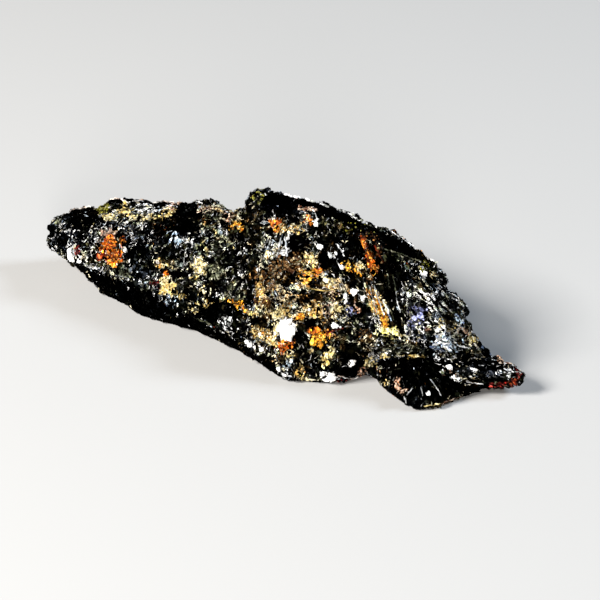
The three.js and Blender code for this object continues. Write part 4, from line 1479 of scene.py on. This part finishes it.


# Single bright lines: finish, width in pixels, and the points that it passes in the photograph. Most are
# painted highlights on edges, ribs and folds that catch the light; the rust, amber and dark red ones are
# veins and cracks of the ore's own colour.
brightLines = [
    ("far edge of the lobe", "rimWhite", 1.2, [
        (48, 220), (52, 214), (60, 210), (70, 208), (84, 207), (96, 207), (101, 203), (107, 198),
        (113, 197), (122, 200), (128, 203), (138, 201), (150, 199), (160, 199), (170, 202),
        (177, 205)
    ]),
    ("far edge of the top plane left", "silver", 1.8, [(284, 194), (292, 195), (300, 198)]),
    ("far edge of the top plane", "silver", 1.4, [(305, 199), (316, 202), (328, 207)]),
    ("far edge of the top plane right", "silver", 1.1, [(337, 210), (348, 214), (357, 219)]),
    ("far edge speck", "silver", 1.6, [(364, 221), (367, 224)]),
    ("far edge of the flank", "silver", 1.4, [
        (392, 232), (397, 236), (403, 238), (408, 242), (416, 244), (421, 248)
    ]),
    ("far edge of the flank low", "silver", 1.6, [
        (421, 248), (427, 253), (432, 258), (437, 261), (441, 268), (444, 273)
    ]),
    ("near edge of the top plane", "greyOlive", 0.8, [
        (384, 249), (392, 252), (402, 254), (410, 258), (418, 261), (424, 264)
    ]),
    ("crest line", "pinkClay", 1.6, [(298, 209), (306, 209), (311, 210), (315, 212)]),
    ("crest hook", "silver", 1.4, [(311, 210), (315, 213), (317, 218)]),
    ("edge over the notch", "silver", 1.2, [(184, 205), (190, 202), (196, 201), (202, 204)]),
    ("wall by the step", "silver", 1.3, [(248, 186), (247, 193), (245, 199)]),
    ("step top", "silver", 1.3, [(249, 187), (256, 186), (262, 190), (266, 195)]),
    ("rib one", "ochre", 1.4, [(365, 283), (369, 298), (373, 313)]),
    ("rib two", "silver", 1.0, [(368, 281), (372, 296), (377, 312)]),
    ("rib three", "silver", 1.1, [(374, 285), (379, 300), (384, 315)]),
    ("rib four", "blueGlint", 1.8, [(383, 300), (387, 308), (391, 320)]),
    ("rib five", "greyOlive", 1.3, [(392, 273), (395, 284), (397, 296)]),
    ("rib five low", "silver", 1.4, [(396, 290), (397, 300), (400, 312)]),
    ("rib six", "greyOlive", 1.3, [(384, 262), (388, 276), (390, 290)]),
    ("rib seven", "greyOlive", 1.2, [(386, 300), (392, 316), (397, 330)]),
    ("vein line", "rust", 1.8, [(362, 243), (366, 254), (371, 266), (375, 272)]),
    ("vein line low", "amber", 1.8, [(377, 300), (381, 313), (387, 326)]),
    ("brown vein line", "deepRust", 1.8, [(374, 245), (379, 254), (384, 262)]),
    ("fold one", "silver", 1.6, [(432, 345), (442, 343), (455, 345), (463, 347)]),
    ("fold two", "blueGlint", 1.6, [(434, 350), (444, 348), (456, 349)]),
    ("fold three", "silver", 1.4, [(438, 338), (448, 340), (456, 340)]),
    ("fold four", "silver", 1.2, [(463, 346), (470, 350), (477, 357)]),
    ("ledge edge", "straw", 1.8, [(384, 357), (392, 357), (402, 355), (412, 356), (424, 357)]),
    ("ledge line", "greyOlive", 1.2, [(383, 350), (396, 346), (410, 346), (421, 349)]),
    ("ledge line low", "greyOlive", 1.2, [(386, 354), (398, 351), (412, 351)]),
    ("tail lower edge", "silver", 2.0, [(447, 376), (452, 378), (458, 379)]),
    ("tail lower edge right", "silver", 1.3, [(462, 380), (472, 383), (484, 384)]),
    ("tail rim", "darkRed", 1.3, [(506, 361), (513, 365), (518, 371), (519, 378), (515, 384)]),
    ("foot lower edge", "cream", 1.6, [(424, 406), (431, 405), (440, 404)]),
    ("foot lower edge right", "pinkClay", 1.0, [(440, 404), (450, 400), (460, 396)]),
    ("fan one", "silver", 1.2, [(415, 382), (412, 388), (409, 392)]),
    ("fan two", "silver", 1.2, [(421, 386), (423, 393), (422, 400)]),
    ("fan three", "silver", 1.1, [(430, 379), (436, 387), (441, 395)]),
    ("fan four", "silver", 1.1, [(405, 396), (406, 402)]),
    ("fan five", "greyOlive", 1.0, [(388, 373), (395, 370), (400, 369)]),
    ("nose lower edge", "silver", 1.6, [(83, 263), (90, 267), (98, 271)]),
    ("lobe lower edge", "silver", 1.2, [(110, 270), (120, 276), (130, 279)]),
    ("lobe lower edge right", "greyOlive", 1.2, [(190, 316), (205, 321), (214, 327)]),
    ("middle line", "straw", 1.2, [(301, 284), (312, 289), (325, 291), (334, 289)]),
    ("bent line", "greyOlive", 1.2, [(270, 274), (284, 266), (297, 262), (308, 258)]),
    ("red crack", "darkRed", 1.4, [(326, 333), (334, 331), (343, 328)]),
    ("low edge", "cream", 1.6, [(300, 377), (308, 379), (318, 380)]),
    ("low edge right", "rimWhite", 1.2, [(337, 376), (348, 378), (358, 378)]),
    ("leaf one", "silver", 1.4, [(328, 252), (334, 258), (340, 266)]),
    ("leaf two", "silver", 1.6, [(336, 244), (341, 250), (344, 256)]),
    ("blade one", "silver", 1.8, [(285, 237), (286, 246), (287, 256)]),
    ("blade two", "silver", 1.6, [(281, 238), (279, 248), (277, 257)]),
    ("blade three", "silver", 1.3, [(271, 240), (267, 250), (264, 259)]),
]
lineBuild = {
    "stops": 5,  # points in each short ridge that a line is made of
    "spacing": 1.6,  # pixels between them
    "shake": 0.3,  # pixels
    "gap": 1.3 * mm,  # a longer stretch from point to point is a jump over a hollow
    "extend": 0.25,  # how far a short line's last stretch is drawn out for each point it lacks
    "height": 0.22 * mm,
    "heights": (0.8, 1.2),
    "lift": 0.2 * mm,
    "lean": 0.4,  # how far it leans with the plate below it, and towards the camera
    "rough": 0.4,
    "shades": (0.7, 1.1),
    "seed": 311,
}
towardsStone = {"middle": (285, 290), "most": 30}  # pixels


# the place on the ore that a pixel shows; a pixel beside the ore takes the nearest one on its rim
def ontoOre(px, py):
    middle = towardsStone["middle"]
    inX, inY = middle[0] - px, middle[1] - py
    for nudge in range(towardsStone["most"]):
        share = nudge / math.hypot(inX, inY)
        ray = pixelRay(px + inX * share, py + inY * share)
        hit = nearSide.tree.ray_cast(Vector(eye), ray)
        if hit[0] is not None:
            return np.array(hit[0]), np.array(hit[1])
    return None


# points along a line in the photograph, at an even spacing and a little shaken
def routePlaces(points, rng):
    route = []
    for (ax, ay), (bx, by) in zip(points[:-1], points[1:]):
        pieces = max(1, round(math.hypot(bx - ax, by - ay) / lineBuild["spacing"]))
        route += [(ax + (bx - ax) * k / pieces, ay + (by - ay) * k / pieces) for k in range(pieces)]
    route.append(points[-1])
    shake = lineBuild["shake"]
    found = [ontoOre(x + rng.normal(0, shake), y + rng.normal(0, shake)) for x, y in route]
    return [hit for hit in found if hit]


def makeBrightLines():
    rng = np.random.default_rng(lineBuild["seed"])
    stops = lineBuild["stops"]
    paths, normals, widths, finish = [], [], [], []
    for name, finishName, width, points in brightLines:
        found = routePlaces(points, rng)
        for start in range(0, max(1, len(found) - 1), stops - 2):
            part = found[start:start + stops]
            if len(part) < 2:
                continue
            while len(part) < stops:
                last, before = part[-1], part[-2]
                part.append((last[0] + (last[0] - before[0]) * lineBuild["extend"], last[1]))
            place = np.array([hit[0] for hit in part])
            if np.linalg.norm(np.diff(place, axis=0), axis=1).max() > lineBuild["gap"]:
                continue
            paths.append(place)
            normals.append([hit[1] for hit in part])
            widths.append(width * pixelSize)
            finish.append(finishNames.index(finishName))
    paths, normals, widths, finish = (np.array(x) for x in (paths, normals, widths, finish))
    count = len(paths)
    outward = normals.mean(axis=1, keepdims=True) + lineBuild["lean"] * (normals + viewBack)
    outward /= np.linalg.norm(outward, axis=2, keepdims=True)
    height = lineBuild["height"] * rng.uniform(*lineBuild["heights"], count)
    paths = paths + outward * lineBuild["lift"]
    mesh, faceCount = ridgeMesh("brightLines", paths, outward, widths, height)
    rough = np.full(count, lineBuild["rough"])
    colour, metal, rough = paletteOver(np.zeros((count, 3)), np.zeros(count), rough, finish, rng)
    colourRidges(mesh, faceCount, colour, metal, rough, lineBuild["shades"], rng)
    makePiece("brightLines", mesh, gloss)


makeBrightLines()


# Single white crystals: middle, length and width in pixels, turn clockwise in degrees
crystals = [
    ("quartz heart", 285, 330, 13, 12, 70),
    ("quartz low", 288, 337, 11, 9, 30),
    ("quartz side", 280, 328, 7, 9, 0),
    ("quartz right", 291, 330, 8, 9, 0),
    ("quartz top", 283, 323, 7, 5, 10),
    ("round grain", 354, 292, 7, 6, 0),
    ("block left", 326, 378, 8, 7, 0),
    ("block right", 332, 377, 8, 8, 0),
    ("knob", 320, 247, 8, 6, 20),
    ("low grain", 334, 326, 8, 6, -20),
    ("chip low", 352, 363, 5, 2.5, -30),
    ("row one", 246, 341, 4, 4, 0),
    ("row two", 251, 345, 5, 4, 10),
    ("row three", 257, 347, 6, 4, 20),
    ("row four", 262, 349, 5, 4, 20),
    ("speck", 342, 268, 4, 4, 0),
    ("crescent low", 73, 258, 10, 6, 25),
    ("crescent", 70, 251, 8, 5, 80),
    ("crescent end", 80, 262, 7, 4, 20),
    ("flank chip", 424, 273, 5, 4, 0),
    ("tail chip", 448, 366, 4, 2, 30),
    ("foot ring", 427, 393, 4, 5, 0),
    ("middle speck", 258, 270, 3, 5, 0),
    ("crest chip", 316, 225, 4, 7, -10),
    ("crumb low", 285, 375, 5, 3, 20),
    ("crumb low left", 279, 369, 5, 4, 40),
    ("shoulder grain", 346, 296, 3, 5, 0),
    ("rib grain", 362, 299, 2.5, 5, 0),
]
crystalBuild = {
    "sides": 8,
    "thick": 0.5 * mm,
    "rim": 0.8,
    "lift": 0.4 * mm,
    "turned": 0.8,  # how far they face the camera
    "enlarged": 1.1,
    "rough": 0.4,
    "seed": 321,
}


def makeCrystals():
    rng = np.random.default_rng(crystalBuild["seed"])
    found = [(ontoOre(x, y), length, width, turn) for name, x, y, length, width, turn in crystals]
    found = [row for row in found if row[0]]
    count = len(found)
    centres = np.array([row[0][0] for row in found])
    outward = unit(np.array([row[0][1] for row in found]) + crystalBuild["turned"] * viewBack)
    turn = np.radians([row[3] for row in found])
    flat = np.cos(turn)[:, None] * viewRight - np.sin(turn)[:, None] * viewUp
    along = unit(flat - outward * np.sum(flat * outward, axis=1)[:, None])
    length = np.array([row[1] for row in found]) * pixelSize / 2
    width = np.array([row[2] for row in found]) * pixelSize / 2
    sides = crystalBuild["sides"]
    places = centres + outward * crystalBuild["lift"]
    thick = np.full(count, crystalBuild["thick"])
    radii = np.sqrt(length * width) * crystalBuild["enlarged"]
    stretch = np.sqrt(length / width)
    rim = crystalBuild["rim"]
    mesh = plateMesh("quartzCrystals", places, outward, along, radii, thick, stretch, sides, rim, rng)
    white = np.full(count, finishNames.index("white"))
    paintPieces(mesh, white, sides + 2, crystalBuild["rough"], 0.0, rng)
    makePiece("quartzCrystals", mesh, gloss)


makeCrystals()


crust = {
    "finishes": ["rust", "deepRust", "darkRed", "amber", "ochre", "pinkClay", "straw", "cream", "lemon",
                 "moss", "brown"],
    "tries": 52000,
    "most": 12000,
    "radius": 0.17 * mm,
    "spread": 0.3,
    "seed": 201,
}
quartz = {
    "finishes": ["white"],
    "tries": 30000,
    "most": 2500,
    "radius": 0.26 * mm,
    "spread": 0.35,
    "seed": 202,
}
grainBuild = {
    "sides": 5,
    "tall": 0.8,  # of the radius
    "tilt": 0.5,
    "lowest": 0.3 * mm,
    "lift": 0.14 * mm,  # the most that one stands proud
    "own": 0.75,  # how much of its colour all its faces share
    "rough": 0.6,
    "stray": {"turn": 0.3, "reach": (0.7, 1.2)},
}


# Small lumps, each two low pyramids base to base
def grainMesh(name, centres, outward, radii, rng):
    sides = grainBuild["sides"]
    along = unit(np.cross(outward, randomDirections(rng, len(centres))))
    stretch = np.ones(len(centres))
    edge = unevenRing(along, np.cross(outward, along), radii, stretch, sides, grainBuild["stray"], rng)
    tip = (outward * (radii * grainBuild["tall"])[:, None])[:, None]
    middle = centres[:, None]
    places = np.concatenate([middle + edge, middle + tip, middle - tip], axis=1)
    pattern = [[k, (k + 1) % sides, sides] for k in range(sides)]
    pattern += [[(k + 1) % sides, k, sides + 1] for k in range(sides)]
    return alikeMesh(name, places, pattern, fanLayout(sides)), len(pattern)


def makeGrains(name, look):
    rng = np.random.default_rng(look["seed"])
    centres, outward, seen, finish, paintedLight, smooth = orePlaces(look["tries"], rng)
    numbers = [finishNames.index(x) for x in look["finishes"]]
    keep = np.flatnonzero(np.isin(finish, numbers) & (centres[:, 2] > grainBuild["lowest"]))[:look["most"]]
    centres, outward, finish = centres[keep], outward[keep], finish[keep]
    count = len(keep)
    radii = look["radius"] * np.exp(rng.normal(0, look["spread"], count))
    facing = unit(outward + grainBuild["tilt"] * randomDirections(rng, count))
    centres = centres + outward * (grainBuild["lift"] * rng.random(count))[:, None]
    mesh, faceCount = grainMesh(name, centres, facing, radii, rng)
    paintPieces(mesh, finish, faceCount, grainBuild["rough"], grainBuild["own"], rng)
    makePiece(name, mesh, gloss)


makeGrains("rustCrust", crust)
makeGrains("quartzGrains", quartz)
print("triangles in all:", sum(madeTriangles.values()))

bpy.context.view_layer.update()
